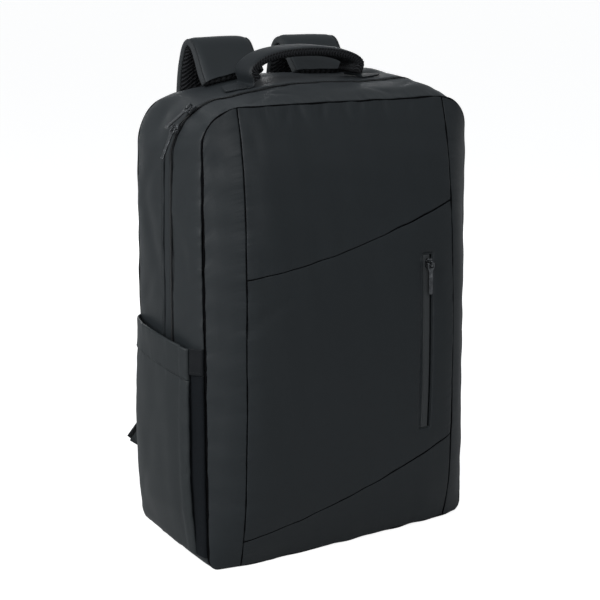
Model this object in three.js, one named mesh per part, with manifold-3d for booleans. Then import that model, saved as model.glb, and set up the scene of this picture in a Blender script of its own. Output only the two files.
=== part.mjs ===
// Laptop backpack, standing on its base with its zips closed. Millimetres, +Z up.
// X runs across the bag, the front faces -Y and the shoulder straps hang at +Y.
// The origin is the middle of the base, on the surface that the bag stands on.

import * as THREE from "three";
import { mergeVertices } from "three/addons/utils/BufferGeometryUtils.js";
import Module from "manifold-3d";

const wasm = await Module();
wasm.setup();

const { lerp, smoothstep, degToRad, clamp } = THREE.MathUtils;

// Driving sizes of the body
const bodyWidth = 302; // at the front seam
const bodyHeight = 440; // to the front seam's top
const bodyDepth = 135; // from the front seam to the back seam
const fabricWall = 2;
const seamGap = 0.6; // between two panels that are sewn together
const gap = 0.3; // between other pieces that touch
const cornerRadius = 46; // of the top corners, where they are roundest
const baseRadius = 26; // of the bottom corners, where they are roundest
const sideBulge = 7.5;
const archRise = 16.5; // of the top's middle over its corners
const baseSpread = 3.5; // by which each side stands further out at the base than at the top
const frontCrown = 28; // by which the stuffed front stands proud of its seam
const backCrown = 5;
const seamLean = 7; // leans the front's upright seams in at the top
const leftSetback = 7.5; // by which the front's left seam stands further back at the top
const rightSetback = 2;
const shoulderDrop = 4.5; // of the slack left shoulder
const shoulderX = -100;
const shoulderSpan = 46;
const fullRise = 11; // of the well filled right shoulder
const fullX = 122;
const fullSpan = 40;

// Driving sizes of the front
const uprightSeamX = 121.5;
const upperSeamLow = 283; // height of the upper slanting seam at its left end
const upperSeamRise = 55.5;
const lowerSeamLow = 27;
const lowerSeamRise = 68;
const seamSag = 8;
const frontZipX = 85.5;
const frontZipTop = 288.5;
const frontZipLength = 181;
const frontZipWidth = 13.6;
const frontZipLean = 3.5; // sideways, from its bottom to its top
const windowCorner = 1.5;
const weltWidth = 1.1;
const lipWall = 0.9;
const lipRecess = 0.6; // of the lip that covers the front zip
const tapeWall = 1.2;
const tapeOverlap = 3; // of the front tape behind the panel on each side
const coilWidth = 3;
const coilWall = 1.2;
const frontCoilX = 0.6; // from the zip's middle
const lipReach = 3.3; // of the lip's edge past the zip's middle
const frontSliderDrop = 10; // from the zip's top to its slider

// Driving sizes of the main zip
const mainZipY = -13.5; // where its teeth run
const mainZipLow = 196; // height of its lower ends, behind the side pockets
const mainZipSideWidth = 19.5;
const mainZipTopWidth = 5;
const tapeNarrow = 0.42; // share of the way from the zip's middle to its end up to which the tape is narrow
const tapeWide = 0.72; // and from which it is wide
const upperSliderAngle = 125; // round the top left corner, from the horizontal
const lowerSliderAngle = 151;
const upperPullTilt = 0; // towards the bag, from the zip's own line
const lowerPullTilt = 8;

// Driving sizes of a slider and its pull
const sliderWidth = 7.4;
const sliderLength = 9.4;
const sliderWall = 2.6;
const sliderNose = 5.4; // width of its narrow end
const sliderBevel = 1;
const bridgeWidth = 2;
const bridgeLength = 6.4;
const bridgeBar = 1.2;
const bridgeRound = 1.4;
const bridgeHead = 0.5; // between a pull's bar and the bridge over it
const pullBar = 1.4;
const pullLength = 31;
const pullWidth = 4.8;
const eyeWidth = 8.6;
const eyeBar = 1.5;
const eyeRound = 1.2;
const eyeSlope = 1.5; // either way from the eye's end, where it narrows to the tab
const tabRound = 1;
const pullPlay = 0.9; // between a pull's eye and its slider, over the usual gap

// Driving sizes of the back, the side pockets, the handle and the straps
const backPad = 9;
const backPadWidth = 108;
const backPadFoot = 66;
const backPadHeight = 326;
const backChannel = 22; // between the two pads
const pocketFoot = 12;
const pocketTop = 227; // at its back edge
const pocketSlant = 11; // down to its front edge
const pocketHem = 31;
const pocketBulge = 8.5;
const pocketMouth = 8; // by which the pocket's top edge stands off the bag
const pocketWall = 1.6;
const pocketClear = 1; // between the bag and a pocket's edges
const hemProud = 0.5;
const pocketFrontY = -53.5;
const webTop = 217; // of the web between the pocket's front edge and the front seam
const webHem = 26;
const webSlack = 3.5;
const webFold = 10; // by which the web folds in behind the pocket
const webStep = 4; // over which the pocket steps out over that fold
const webWall = 1.2;
const handleSpan = 152; // with its two feet
const handleX = 3.5;
const handleRise = 29.5;
const handleWidth = 32;
const handleY = 12;
const handlePad = 6;
const footTipWidth = 16;
const coverWall = 1.5;
const strapX = 53;
const strapEndX = 80;
const strapWidth = 68;
const strapEndWidth = 44;
const strapThickness = 10;
const strapBaseY = 48;
const loopReach = 50;
const loopRise = 33;
const strapDrop = 278;
const webbingWidth = 25;
const webbingWall = 1.6;
const webbingSag = 5;
const adjusterLength = 24;
const adjusterWall = 3;
const adjusterBar = 4;
const adjusterRim = 4.5;
const adjusterRound = 3;
const slotPlay = 0.8; // between the webbing's edges and the adjuster's slots
const tabHeight = 54;
const tabReach = 18;
const tabLean = 6; // inwards
const tabWall = 2.6;
const tabZ = 83;
const tabMargin = 1; // of the tab past the webbing's edges

const halfWidth = bodyWidth / 2;
const halfDepth = bodyDepth / 2;

// The gusset's sections, from the front seam to the back seam: at is a share of bodyDepth, and the others are
// shares of cornerRadius, baseRadius, sideBulge and archRise.
const sections = [
  { at: 0, corner: 0.72, base: 0.55, bulge: 0, arch: 0 },
  { at: 0.06, corner: 0.78, base: 0.6, bulge: 0.38, arch: 0.2 },
  { at: 0.16, corner: 0.87, base: 0.7, bulge: 0.74, arch: 0.56 },
  { at: 0.37, corner: 1, base: 0.85, bulge: 1, arch: 0.86 },
  { at: 0.62, corner: 1, base: 1, bulge: 0.94, arch: 1.06 },
  { at: 0.82, corner: 0.96, base: 1, bulge: 0.66, arch: 1.18 },
  { at: 0.94, corner: 0.93, base: 1, bulge: 0.28, arch: 1.2 },
  { at: 1, corner: 0.92, base: 1, bulge: 0, arch: 1.14 },
];

// How far the front is stuffed out over its height: at is a share of bodyHeight, out one of frontCrown.
const crownRows = [
  { at: 0, out: 0.42 },
  { at: 0.05, out: 0.66 },
  { at: 0.14, out: 0.88 },
  { at: 0.37, out: 1 },
  { at: 0.63, out: 0.92 },
  { at: 0.85, out: 0.66 },
  { at: 0.95, out: 0.32 },
  { at: 1, out: 0.08 },
];

// How far a pocket stands off the side, up from its foot and forwards from its back edge, in shares of
// pocketBulge. The mouth's own line is in shares of pocketMouth.
const pocketRows = [
  { at: 0, out: 0.08 },
  { at: 0.06, out: 0.22 },
  { at: 0.13, out: 0.5 },
  { at: 0.22, out: 0.82 },
  { at: 0.36, out: 0.96 },
  { at: 0.55, out: 1 },
  { at: 0.72, out: 0.9 },
  { at: 0.83, out: 0.76 },
  { at: 1, out: 0.3 },
];
const pocketColumns = [
  { at: 0, out: 0.02, mouth: 0.02 },
  { at: 0.02, out: 0.35, mouth: 0.1 },
  { at: 0.05, out: 0.62, mouth: 0.24 },
  { at: 0.12, out: 0.8, mouth: 0.5 },
  { at: 0.3, out: 1, mouth: 0.9 },
  { at: 0.5, out: 1.05, mouth: 1 },
  { at: 0.72, out: 1, mouth: 0.9 },
  { at: 0.9, out: 0.72, mouth: 0.6 },
  { at: 1, out: 0.42, mouth: 0.4 },
];

// Half of the handle's line, from the tip of its foot to its middle: out is a share of half handleSpan, up one of
// handleRise.
const handleRows = [
  { out: 1, up: 0 },
  { out: 0.95, up: 0 },
  { out: 0.88, up: 0 },
  { out: 0.835, up: 0.03 },
  { out: 0.83, up: 0.14 },
  { out: 0.855, up: 0.3 },
  { out: 0.87, up: 0.44 },
  { out: 0.855, up: 0.58 },
  { out: 0.79, up: 0.73 },
  { out: 0.67, up: 0.85 },
  { out: 0.49, up: 0.94 },
  { out: 0.25, up: 0.985 },
  { out: 0, up: 1 },
];
const footRows = 4; // the rows that lie on the bag's top

// A strap's loop over the bag's top, in shares of loopReach and loopRise, and its fall behind the bag, in shares
// of loopReach and strapDrop.
const loopRows = [
  { back: 0, up: 0 },
  { back: 0.17, up: 0.31 },
  { back: 0.35, up: 0.66 },
  { back: 0.47, up: 0.9 },
  { back: 0.6, up: 1 },
  { back: 0.72, up: 0.93 },
  { back: 0.81, up: 0.76 },
  { back: 0.89, up: 0.48 },
  { back: 0.96, up: 0.16 },
];
const fallRows = [
  { back: 1.03, down: 0.05 },
  { back: 1.12, down: 0.2 },
  { back: 1.18, down: 0.4 },
  { back: 1.15, down: 0.6 },
  { back: 1.04, down: 0.8 },
  { back: 0.96, down: 0.93 },
  { back: 0.91, down: 1 },
];

// Reads a table between its rows.
function read(rows, at, column) {
  let row = 1;
  while (row < rows.length - 1 && rows[row].at < at) row += 1;
  const [a, b] = [rows[row - 1], rows[row]];
  return lerp(a[column], b[column], clamp((at - a.at) / (b.at - a.at), 0, 1));
}

// Evenly spaced numbers, both ends included.
const steps = (count, from = 0, to = 1) =>
  Array.from({ length: count + 1 }, (_, i) => lerp(from, to, i / count));

// The form of the stuffed bag

const sectionShare = (y, column) => read(sections, (y + halfDepth) / bodyDepth, column);

// Moves a point of a plain box with round corners to where the soft wall lies. The powers say how close to an
// edge each swell dies away.
function soften(x, y, z) {
  const across = Math.min(1, Math.abs(x) / halfWidth);
  const up = z / bodyHeight;
  const front = smoothstep(-y, -mainZipY, halfDepth);
  const back = smoothstep(y, 0.6 * halfDepth, halfDepth);
  const flank = sideBulge * sectionShare(y, "bulge") * across ** 3 * (1 - 0.6 * Math.abs(2 * up - 1) ** 4);
  const spread = baseSpread * (1 - up) * across;
  const lean = seamLean * front * up ** 2 * Math.sin(Math.PI * across);
  const setback = (x < 0 ? leftSetback : rightSetback) * up * across ** 8;
  const proud = frontCrown * (1 - across ** 8) * read(crownRows, up, "out") - setback;
  const stuffed = backCrown * (1 - across ** 4) * (1 - (2 * up - 1) ** 4);
  const slack = shoulderDrop * up ** 6 * Math.exp(-(((x - shoulderX) / shoulderSpan) ** 2));
  const full = fullRise * up ** 6 * Math.exp(-(((x - fullX) / fullSpan) ** 2));
  const arched = archRise * (1 - across ** 2) * up ** 4;
  return new THREE.Vector3(
    x + Math.sign(x) * (flank + spread - lean),
    y - front * proud + back * stuffed,
    z + sectionShare(y, "arch") * (arched - slack + full),
  );
}

const arc = (x, z, radius, from, to, count) =>
  steps(count, degToRad(from), degToRad(to)).map((a) => [x + radius * Math.cos(a), z + radius * Math.sin(a)]);

const mirrored = (half) => [...half, ...half.slice(0, -1).reverse().map(([x, z]) => [-x, z])];

// How far a round corner cuts in, at a distance past its start.
const cornerCut = (radius, past) => (past > 0 ? radius - Math.sqrt(Math.max(0, radius ** 2 - past ** 2)) : 0);

function topCorner(y, inset) {
  const radius = cornerRadius * sectionShare(y, "corner") - inset;
  return { radius, x: halfWidth - inset - radius, z: bodyHeight - inset - radius };
}

function baseCorner(y, inset) {
  const radius = baseRadius * sectionShare(y, "base") - inset;
  return { radius, x: halfWidth - inset - radius, z: inset + radius };
}

function outlineTop(x, y, inset) {
  const corner = topCorner(y, inset);
  return bodyHeight - inset - cornerCut(corner.radius, Math.abs(x) - corner.x);
}

function outlineBase(x, y, inset) {
  const corner = baseCorner(y, inset);
  return inset + cornerCut(corner.radius, Math.abs(x) - corner.x);
}

// The left side's distance from the middle, at a height.
function outlineSide(y, z) {
  const corner = baseCorner(y, 0);
  return -halfWidth + cornerCut(corner.radius, corner.z - z);
}

// Up the left side, over the top and down the right side.
function overTop(y, inset) {
  const corner = topCorner(y, inset);
  const side = steps(6, mainZipLow, corner.z).slice(0, -1).map((z) => [-halfWidth + inset, z]);
  const top = steps(5, -corner.x, 0).slice(1).map((x) => [x, bodyHeight - inset]);
  return mirrored([...side, ...arc(-corner.x, corner.z, corner.radius, 180, 90, 6), ...top]);
}

// Down the left side, under the base and up the right side.
function underBase(y, inset) {
  const corner = baseCorner(y, inset);
  const side = steps(6, mainZipLow - seamGap, corner.z).slice(0, -1).map((z) => [-halfWidth + inset, z]);
  const base = steps(4, -corner.x, 0).slice(1).map((x) => [x, inset]);
  return mirrored([...side, ...arc(-corner.x, corner.z, corner.radius, 180, 270, 4), ...base]);
}

const topSurface = (x, y) => soften(x, y, outlineTop(x, y, 0)).z;

// Shapes from points

// A closed mesh with its faces turned outwards.
function closedMesh(points, faces) {
  const cross = new THREE.Vector3();
  const corner = ([a, b, c]) => points[a].dot(cross.crossVectors(points[b], points[c]));
  const volume = faces.reduce((sum, face) => sum + corner(face), 0);
  const turned = volume < 0 ? faces.map(([a, b, c]) => [a, c, b]) : faces;
  const places = points.flatMap((point) => point.toArray());
  return new THREE.BufferGeometry()
    .setAttribute("position", new THREE.Float32BufferAttribute(places, 3))
    .setIndex(turned.flat());
}

// The wall between two sheets of points that have the same rows and columns.
function wallBetween(outer, inner) {
  const rows = outer.length;
  const columns = outer[0].length;
  const shift = rows * columns;
  const faces = [];
  const quad = (a, b, c, d) => faces.push([a, b, c], [a, c, d]);
  for (let i = 0; i + 1 < rows; i += 1) {
    for (let j = 0; j + 1 < columns; j += 1) {
      const a = i * columns + j;
      quad(a, a + 1, a + columns + 1, a + columns);
      quad(shift + a, shift + a + columns, shift + a + columns + 1, shift + a + 1);
    }
  }
  const rim = (a, b) => quad(b, a, shift + a, shift + b);
  for (let i = 0; i + 1 < rows; i += 1) {
    rim((i + 1) * columns, i * columns);
    rim(i * columns + columns - 1, (i + 1) * columns + columns - 1);
  }
  for (let j = 0; j + 1 < columns; j += 1) {
    rim(j, j + 1);
    rim((rows - 1) * columns + j + 1, (rows - 1) * columns + j);
  }
  return closedMesh([...outer.flat(), ...inner.flat()], faces);
}

// A ring whose section runs round four closed loops of points.
function hoop(loops) {
  const count = loops[0].length;
  const faces = [];
  for (let i = 0; i < loops.length; i += 1) {
    for (let j = 0; j < count; j += 1) {
      const [a, b] = [i * count + j, i * count + ((j + 1) % count)];
      const next = (((i + 1) % loops.length) - i) * count;
      faces.push([a, b, b + next], [a, b + next, a + next]);
    }
  }
  return closedMesh(loops.flat(), faces);
}

// A ribbon along a path, between two offsets on its outer side. side points across it, and seat moves a point of
// a row after it is made.
function ribbon(path, side, halfWidths, inner, outer, seat = (point) => point) {
  const layer = (offset) =>
    path.map((centre, row) => {
      const [before, after] = [path[Math.max(row - 1, 0)], path[Math.min(row + 1, path.length - 1)]];
      const along = after.clone().sub(before).normalize();
      const normal = side.clone().cross(along).normalize();
      const across = along.clone().cross(normal);
      return [-1, -0.93, 0, 0.93, 1].map((share) => {
        const thin = Math.abs(share) === 1 ? 0.7 : 1;
        const middle = (inner + outer) / 2;
        const point = centre
          .clone()
          .addScaledVector(across, share * halfWidths[row])
          .addScaledVector(normal, middle + (offset - middle) * thin);
        return seat(point, row, offset);
      });
    });
  return wallBetween(layer(outer), layer(inner));
}

const shapeOf = (points) => new THREE.Shape(points.map(([x, y]) => new THREE.Vector2(x, y)));

// A plate in the XY plane, from its outline and holes, with its lower face at z.
function plate(outline, holes, z, height) {
  const shape = shapeOf(outline);
  shape.holes = holes.map(shapeOf);
  return new THREE.ExtrudeGeometry(shape, { depth: height, bevelEnabled: false }).translate(0, 0, z);
}

// A rectangle with round corners, from its edges.
function roundedBox(left, right, low, high, radius, count = 3) {
  return [
    ...arc(right - radius, low + radius, radius, -90, 0, count),
    ...arc(right - radius, high - radius, radius, 0, 90, count),
    ...arc(left + radius, high - radius, radius, 90, 180, count),
    ...arc(left + radius, low + radius, radius, 180, 270, count),
  ];
}

function toSolid(geometry) {
  const bare = geometry.index ? geometry.toNonIndexed() : geometry.clone();
  for (const name of Object.keys(bare.attributes)) if (name !== "position") bare.deleteAttribute(name);
  const merged = mergeVertices(bare, 1e-4);
  return new wasm.Manifold(
    new wasm.Mesh({
      numProp: 3,
      vertProperties: merged.attributes.position.array,
      triVerts: new Uint32Array(merged.index.array),
    }),
  );
}

function toGeometry(solid) {
  const mesh = solid.getMesh();
  return new THREE.BufferGeometry()
    .setAttribute("position", new THREE.BufferAttribute(mesh.vertProperties, 3))
    .setIndex(new THREE.BufferAttribute(mesh.triVerts, 1));
}

const joined = (first, second) => toGeometry(toSolid(first).add(toSolid(second)));
const cutBy = (shape, tool) => toGeometry(toSolid(shape).subtract(toSolid(tool)));

// Materials

const cloth = (color, roughness = 0.7) => new THREE.MeshStandardMaterial({ color, roughness, metalness: 0 });
const shellCloth = cloth(0x33383b, 0.62);
const sideCloth = cloth(0x3a3f42, 0.62);
const pocketCloth = cloth(0x363b3e, 0.66);
const meshCloth = cloth(0x202225, 0.9);
const tapeCloth = cloth(0x1f2224, 0.8);
const webbingCloth = cloth(0x26292b, 0.75);
const coilPlastic = cloth(0x1b1d1f, 0.45);
const adjusterPlastic = cloth(0x1c1e20, 0.4);
const pullMetal = new THREE.MeshStandardMaterial({ color: 0x5c6063, roughness: 0.32, metalness: 1 });

const bag = new THREE.Group();

function add(name, geometry, material) {
  const mesh = new THREE.Mesh(geometry, material);
  mesh.name = name;
  bag.add(mesh);
  return mesh;
}

// The gusset and the main zip

const frontEdge = -halfDepth + fabricWall + seamGap;
const zipFront = mainZipY - coilWidth / 2 - 1;

// The tape is wide on the sides and narrow over the top; share runs along its loop.
const zipBack = (share) =>
  zipFront +
  lerp(mainZipTopWidth, mainZipSideWidth, smoothstep(Math.abs(2 * share - 1), tapeNarrow, tapeWide));

// A band along a loop of the outline, between two edges, from one inset to another.
function band(loop, from, to, columns, outer, inner) {
  const last = loop(0, 0).length - 1;
  const layer = (inset) =>
    steps(last, 0, last).map((i) => {
      const [low, high] = [from(i / last), to(i / last)];
      return columns.map((column) => {
        const y = lerp(low, high, column);
        const [x, z] = loop(y, inset)[i];
        return soften(x, y, z);
      });
    });
  return wallBetween(layer(outer), layer(inner));
}

// The sections that lie well inside a band, and its two edges, as shares of its width.
const sectionYs = (low, high) => {
  const ys = sections.map(({ at }) => at * bodyDepth - halfDepth);
  const inside = ys.filter((y) => y > low + fabricWall && y < high - fabricWall);
  return [low, ...inside, high].map((y) => (y - low) / (high - low));
};
const still = (y) => () => y;

add(
  "base_gusset",
  band(underBase, still(frontEdge), still(-frontEdge), sectionYs(frontEdge, -frontEdge), 0, fabricWall),
  sideCloth,
);
add(
  "front_top_gusset",
  band(overTop, still(frontEdge), still(zipFront - seamGap), sectionYs(frontEdge, zipFront), 0, fabricWall),
  sideCloth,
);
const rearFront = (share) => zipBack(share) + seamGap;
add(
  "rear_top_gusset",
  band(overTop, rearFront, still(-frontEdge), sectionYs(zipBack(0.5), -frontEdge), 0, fabricWall),
  sideCloth,
);
const tapeInset = coilWall / 2 + gap;
add(
  "main_zip_tape",
  band(overTop, still(zipFront), zipBack, [0, 0.5, 1], tapeInset, tapeInset + tapeWall),
  tapeCloth,
);
const coilHalf = coilWidth / 2;
add(
  "main_zip_coil",
  band(
    overTop, still(mainZipY - coilHalf), still(mainZipY + coilHalf), [0, 0.5, 1], -coilWall / 2, coilWall / 2,
  ),
  coilPlastic,
);

// The front panels

const seamHeight = (x, low, rise) => {
  const share = (x + uprightSeamX) / (2 * uprightSeamX);
  return low + rise * share - seamSag * 4 * share * (1 - share);
};
const upperSeam = (x) => seamHeight(x, upperSeamLow, upperSeamRise);
const lowerSeam = (x) => seamHeight(x, lowerSeamLow, lowerSeamRise);

const panelXs = (reach, count) => steps(count, -reach, reach);
const halfSeam = seamGap / 2;

// A sheet over part of the front or the back, between two edges that run across it.
function sheet(y, wall, xs, low, high, shares) {
  const layer = (depth) =>
    xs.map((x) => shares.map((share) => soften(x, depth, lerp(low(x, depth), high(x, depth), share))));
  return wallBetween(layer(y), layer(y + wall));
}

const frontSheet = (xs, low, high, shares) => sheet(-halfDepth, fabricWall, xs, low, high, shares);
const frontTop = (x) => outlineTop(x, -halfDepth, 0);
const frontBase = (x) => outlineBase(x, -halfDepth, 0);
const innerXs = panelXs(uprightSeamX - halfSeam, 10);

// The strips beside the upright seams reach round the bag's corners, so their columns crowd towards the edge.
const stripReach = halfWidth - uprightSeamX - halfSeam;
const stripColumns = [0, 0.22, 0.42, 0.58, 0.72, 0.83, 0.91, 0.96, 1];
const stripXs = stripColumns.map((share) => halfWidth - stripReach * (1 - share));
const stripShares = [0, 0.015, 0.04, 0.09, 0.17, 0.28, 0.41, 0.55, 0.68, 0.79, 0.88, 0.94, 0.975, 1];
const flipped = (xs) => xs.map((x) => -x).reverse();

add("front_strip_left", frontSheet(flipped(stripXs), frontBase, frontTop, stripShares), shellCloth);
add("front_strip_right", frontSheet(stripXs, frontBase, frontTop, stripShares), shellCloth);
add(
  "front_panel_upper",
  frontSheet(innerXs, (x) => upperSeam(x) + halfSeam, frontTop, [0, 0.25, 0.48, 0.68, 0.84, 0.94, 1]),
  shellCloth,
);
add(
  "front_panel_lower",
  frontSheet(innerXs, frontBase, (x) => lowerSeam(x) - halfSeam, [0, 0.12, 0.35, 0.65, 1]),
  shellCloth,
);

// The front zip

const zipMiddle = frontZipTop - frontZipLength / 2;
const onFront = ([across, up], depth) =>
  soften(frontZipX + across + (frontZipLean * up) / frontZipLength, depth - halfDepth, zipMiddle + up);

// The window's edge, taken in by inset, with enough points to follow the panel's crown.
function windowLoop(inset) {
  const [x, z] = [frontZipWidth / 2 - inset, frontZipLength / 2 - inset];
  const radius = Math.max(windowCorner - inset, 0.2);
  const right = steps(8, radius - z, z - radius).slice(1, -1).map((up) => [x, up]);
  const left = right.map(([across, up]) => [-across, -up]);
  return [
    ...arc(x - radius, radius - z, radius, -90, 0, 3),
    ...right,
    ...arc(x - radius, z - radius, radius, 0, 90, 3),
    ...arc(radius - x, z - radius, radius, 90, 180, 3),
    ...left,
    ...arc(radius - x, radius - z, radius, 180, 270, 3),
  ];
}

const windowOutline = windowLoop(0).map((point) => {
  const { x, z } = onFront(point, 0);
  return [x, z];
});
const windowTool = plate(windowOutline, [], 0, 2 * frontCrown)
  .rotateX(Math.PI / 2)
  .translate(0, fabricWall + seamGap - halfDepth, 0);
const middleLow = (x) => lowerSeam(x) + halfSeam;
const middleHigh = (x) => upperSeam(x) - halfSeam;
const wholeMiddle = frontSheet(innerXs, middleLow, middleHigh, steps(9));
add("front_panel_middle", cutBy(wholeMiddle, windowTool), shellCloth);

const placed = (loop, depth) => loop.map((point) => onFront(point, depth));
const [weltOuter, weltInner] = [windowLoop(gap), windowLoop(gap + weltWidth)];
add(
  "front_zip_frame",
  hoop([
    placed(weltOuter, 0),
    placed(weltInner, 0),
    placed(weltInner, fabricWall),
    placed(weltOuter, fabricWall),
  ]),
  tapeCloth,
);

// A straight strip along the front zip, between two edges and two depths.
function zipStrip(left, right, halfUp, depth, wall) {
  const layer = (at) =>
    steps(10, -halfUp, halfUp).map((up) => [left, right].map((x) => onFront([x, up], at)));
  return wallBetween(layer(depth), layer(depth + wall));
}

// From the outside in lie the lip, the coil and the tape.
const windowHalf = frontZipWidth / 2 - weltWidth - 2 * gap;
const zipHalf = frontZipLength / 2 - weltWidth - 2 * gap;
const coilDepth = Math.max(fabricWall, lipRecess + lipWall) + gap;
const tapeReach = frontZipWidth / 2 + tapeOverlap;
add("front_zip_lip", zipStrip(-windowHalf, lipReach, zipHalf, lipRecess, lipWall), shellCloth);
add(
  "front_zip_coil",
  zipStrip(frontCoilX - coilWidth / 2, frontCoilX + coilWidth / 2, zipHalf, coilDepth, coilWall),
  coilPlastic,
);
add(
  "front_zip_tape",
  zipStrip(-tapeReach, tapeReach, frontZipLength / 2 + tapeOverlap, coilDepth + coilWall + gap, tapeWall),
  tapeCloth,
);

// Sliders and pulls. In their own frame the coil's top is at z = 0, the pull points along +Y and z is outwards.

const sliderTop = gap + sliderWall;
const bridgeInside = gap + pullPlay + pullBar + bridgeHead;
const pivotHeight = sliderTop + gap + pullPlay + pullBar / 2;

function sliderShape() {
  const [half, nose, end] = [sliderWidth / 2, sliderNose / 2, sliderLength / 2];
  const outline = [
    [-nose, -end],
    [nose, -end],
    [half, -end / 3],
    [half, end - sliderBevel],
    [half - sliderBevel, end],
    [sliderBevel - half, end],
    [-half, end - sliderBevel],
    [-half, -end / 3],
  ];
  const body = plate(outline, [], gap, sliderWall);
  const reach = bridgeInside + bridgeBar;
  const root = 0.4 * sliderWall; // by which the bridge is sunk into the body
  const [outside, inside] = [bridgeLength / 2, bridgeLength / 2 - bridgeBar];
  const outer = roundedBox(-outside, outside, -root, reach, bridgeRound);
  const inner = roundedBox(-inside, inside, -root / 2, bridgeInside, bridgeRound / 2);
  const bridge = plate(outer, [inner], -bridgeWidth / 2, bridgeWidth);
  bridge.rotateX(Math.PI / 2).rotateZ(Math.PI / 2).translate(0, 0, sliderTop);
  return joined(body, bridge);
}

// The pull, with its pivot at the origin: an eye round the bridge, and a tab that ends round.
function pullShape() {
  const half = pullBar / 2;
  const eyeEnd = bridgeLength / 2 + 2 * eyeBar;
  const [eye, tab] = [eyeWidth / 2, pullWidth / 2];
  const outline = [
    ...arc(eye - eyeRound, eyeRound - half, eyeRound, -90, 0, 3),
    [eye, eyeEnd - eyeSlope],
    [tab, eyeEnd + eyeSlope],
    ...arc(tab - tabRound, pullLength - tabRound, tabRound, 0, 90, 3),
    ...arc(tabRound - tab, pullLength - tabRound, tabRound, 90, 180, 3),
    [-tab, eyeEnd + eyeSlope],
    [-eye, eyeEnd - eyeSlope],
    ...arc(eyeRound - eye, eyeRound - half, eyeRound, 180, 270, 3),
  ];
  const hole = roundedBox(eyeBar - eye, eye - eyeBar, half, eyeEnd - eyeBar, eyeRound / 2);
  return plate(outline, [hole], -half, pullBar);
}

// Adds a slider and its pull, from the coil's top, the way outwards, the way the pull points and its tilt.
function addSlider(name, seat, outwards, towards, tilt) {
  const across = towards.clone().cross(outwards);
  const slider = add(`${name}_slider`, sliderShape(), pullMetal);
  slider.position.copy(seat);
  slider.quaternion.setFromRotationMatrix(new THREE.Matrix4().makeBasis(across, towards, outwards));
  const pull = add(`${name}_pull`, pullShape(), pullMetal);
  pull.position.copy(seat).addScaledVector(outwards, pivotHeight);
  pull.quaternion.copy(slider.quaternion).multiply(
    new THREE.Quaternion().setFromAxisAngle(new THREE.Vector3(1, 0, 0), -degToRad(tilt)),
  );
}

addSlider(
  "front_zip",
  onFront([frontCoilX, frontZipLength / 2 - frontSliderDrop], 0),
  new THREE.Vector3(0, -1, 0),
  new THREE.Vector3(0, 0, -1),
  0,
);

// A point on the main coil's top, round the top left corner.
function onCorner(angle) {
  const corner = topCorner(mainZipY, -coilWall / 2);
  const [x, z] = arc(-corner.x, corner.z, corner.radius, angle, angle, 1)[0];
  return soften(x, mainZipY, z);
}

for (const [name, angle, tilt] of [
  ["main_zip_upper", upperSliderAngle, upperPullTilt],
  ["main_zip_lower", lowerSliderAngle, lowerPullTilt],
]) {
  const along = onCorner(angle + 1).sub(onCorner(angle - 1)).setY(0).normalize();
  const outwards = new THREE.Vector3(0, 1, 0).cross(along);
  addSlider(name, onCorner(angle), outwards, along, tilt);
}

// The back

add(
  "back_panel",
  sheet(
    halfDepth,
    -fabricWall,
    [...flipped(stripXs), ...panelXs(0.9 * uprightSeamX, 8), ...stripXs],
    (x, y) => outlineBase(x, y, 0),
    (x, y) => outlineTop(x, y, 0),
    [0, 0.02, 0.06, 0.14, 0.28, 0.5, 0.72, 0.86, 0.94, 0.98, 1],
  ),
  meshCloth,
);

// A pad that is full in the middle and thin at its rim.
function backPadShape(side) {
  const shares = [-1, -0.94, -0.8, -0.4, 0, 0.4, 0.8, 0.94, 1];
  const layer = (inner) =>
    shares.map((u) =>
      shares.map((v) => {
        const x = side * (backChannel / 2 + (backPadWidth * (u + 1)) / 2);
        const z = backPadFoot + (backPadHeight * (v + 1)) / 2;
        const full = 0.15 + 0.85 * Math.min(1, 5 * (1 - Math.abs(u))) * Math.min(1, 14 * (1 - Math.abs(v)));
        const point = soften(x, halfDepth, z);
        point.y += inner ? gap : gap + backPad * full;
        return point;
      }),
    );
  return wallBetween(layer(false), layer(true));
}

add("back_pad_left", backPadShape(-1), meshCloth);
add("back_pad_right", backPadShape(1), meshCloth);

// The side pockets

const pocketBackY = -frontEdge - gap;
const pocketY = (share) => lerp(pocketBackY, pocketFrontY, share);
const pocketShare = (y) => (pocketBackY - y) / (pocketBackY - pocketFrontY);
const pocketEdge = (y) => pocketTop - pocketSlant * pocketShare(y);

function pocketStand(y, z) {
  const column = pocketShare(y);
  const row = (z - pocketFoot) / (pocketEdge(y) - pocketFoot);
  const bulge = pocketBulge * read(pocketRows, row, "out") * read(pocketColumns, column, "out");
  const mouth = pocketMouth * read(pocketColumns, column, "mouth");
  const overWeb = (webWall + gap) * smoothstep(pocketFrontY + webFold + webStep - y, 0, webStep);
  return pocketClear + overWeb + lerp(bulge, mouth, smoothstep(row, 0.8, 1));
}

// A wall that stands off the bag's side, between two heights and two stand-offs.
function sideWall(side, ys, shares, low, high, inner, wall) {
  const layer = (extra) =>
    shares.map((share) =>
      ys.map((y) => {
        const z = lerp(low(y), high(y), share);
        const point = soften(outlineSide(y, z), y, z);
        return point.setX(-side * (point.x - inner(y, z) - extra));
      }),
    );
  return wallBetween(layer(wall), layer(0));
}

const pocketYs = pocketColumns.map(({ at }) => pocketY(at));
const pocketShares = [0, 0.03, ...pocketRows.slice(1).map(({ at }) => at)];
const webShares = [0, 0.03, 0.06, 0.1, 0.3, 0.5, 0.75, 1]; // closer together round the base's corner
const hemFoot = (y) => pocketEdge(y) - pocketHem;
const webEdge = frontEdge + gap;
const webFoot = webTop - webHem;
const webHemStand = (y) => pocketClear + webSlack * smoothstep(y, webEdge, pocketFrontY);

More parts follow.
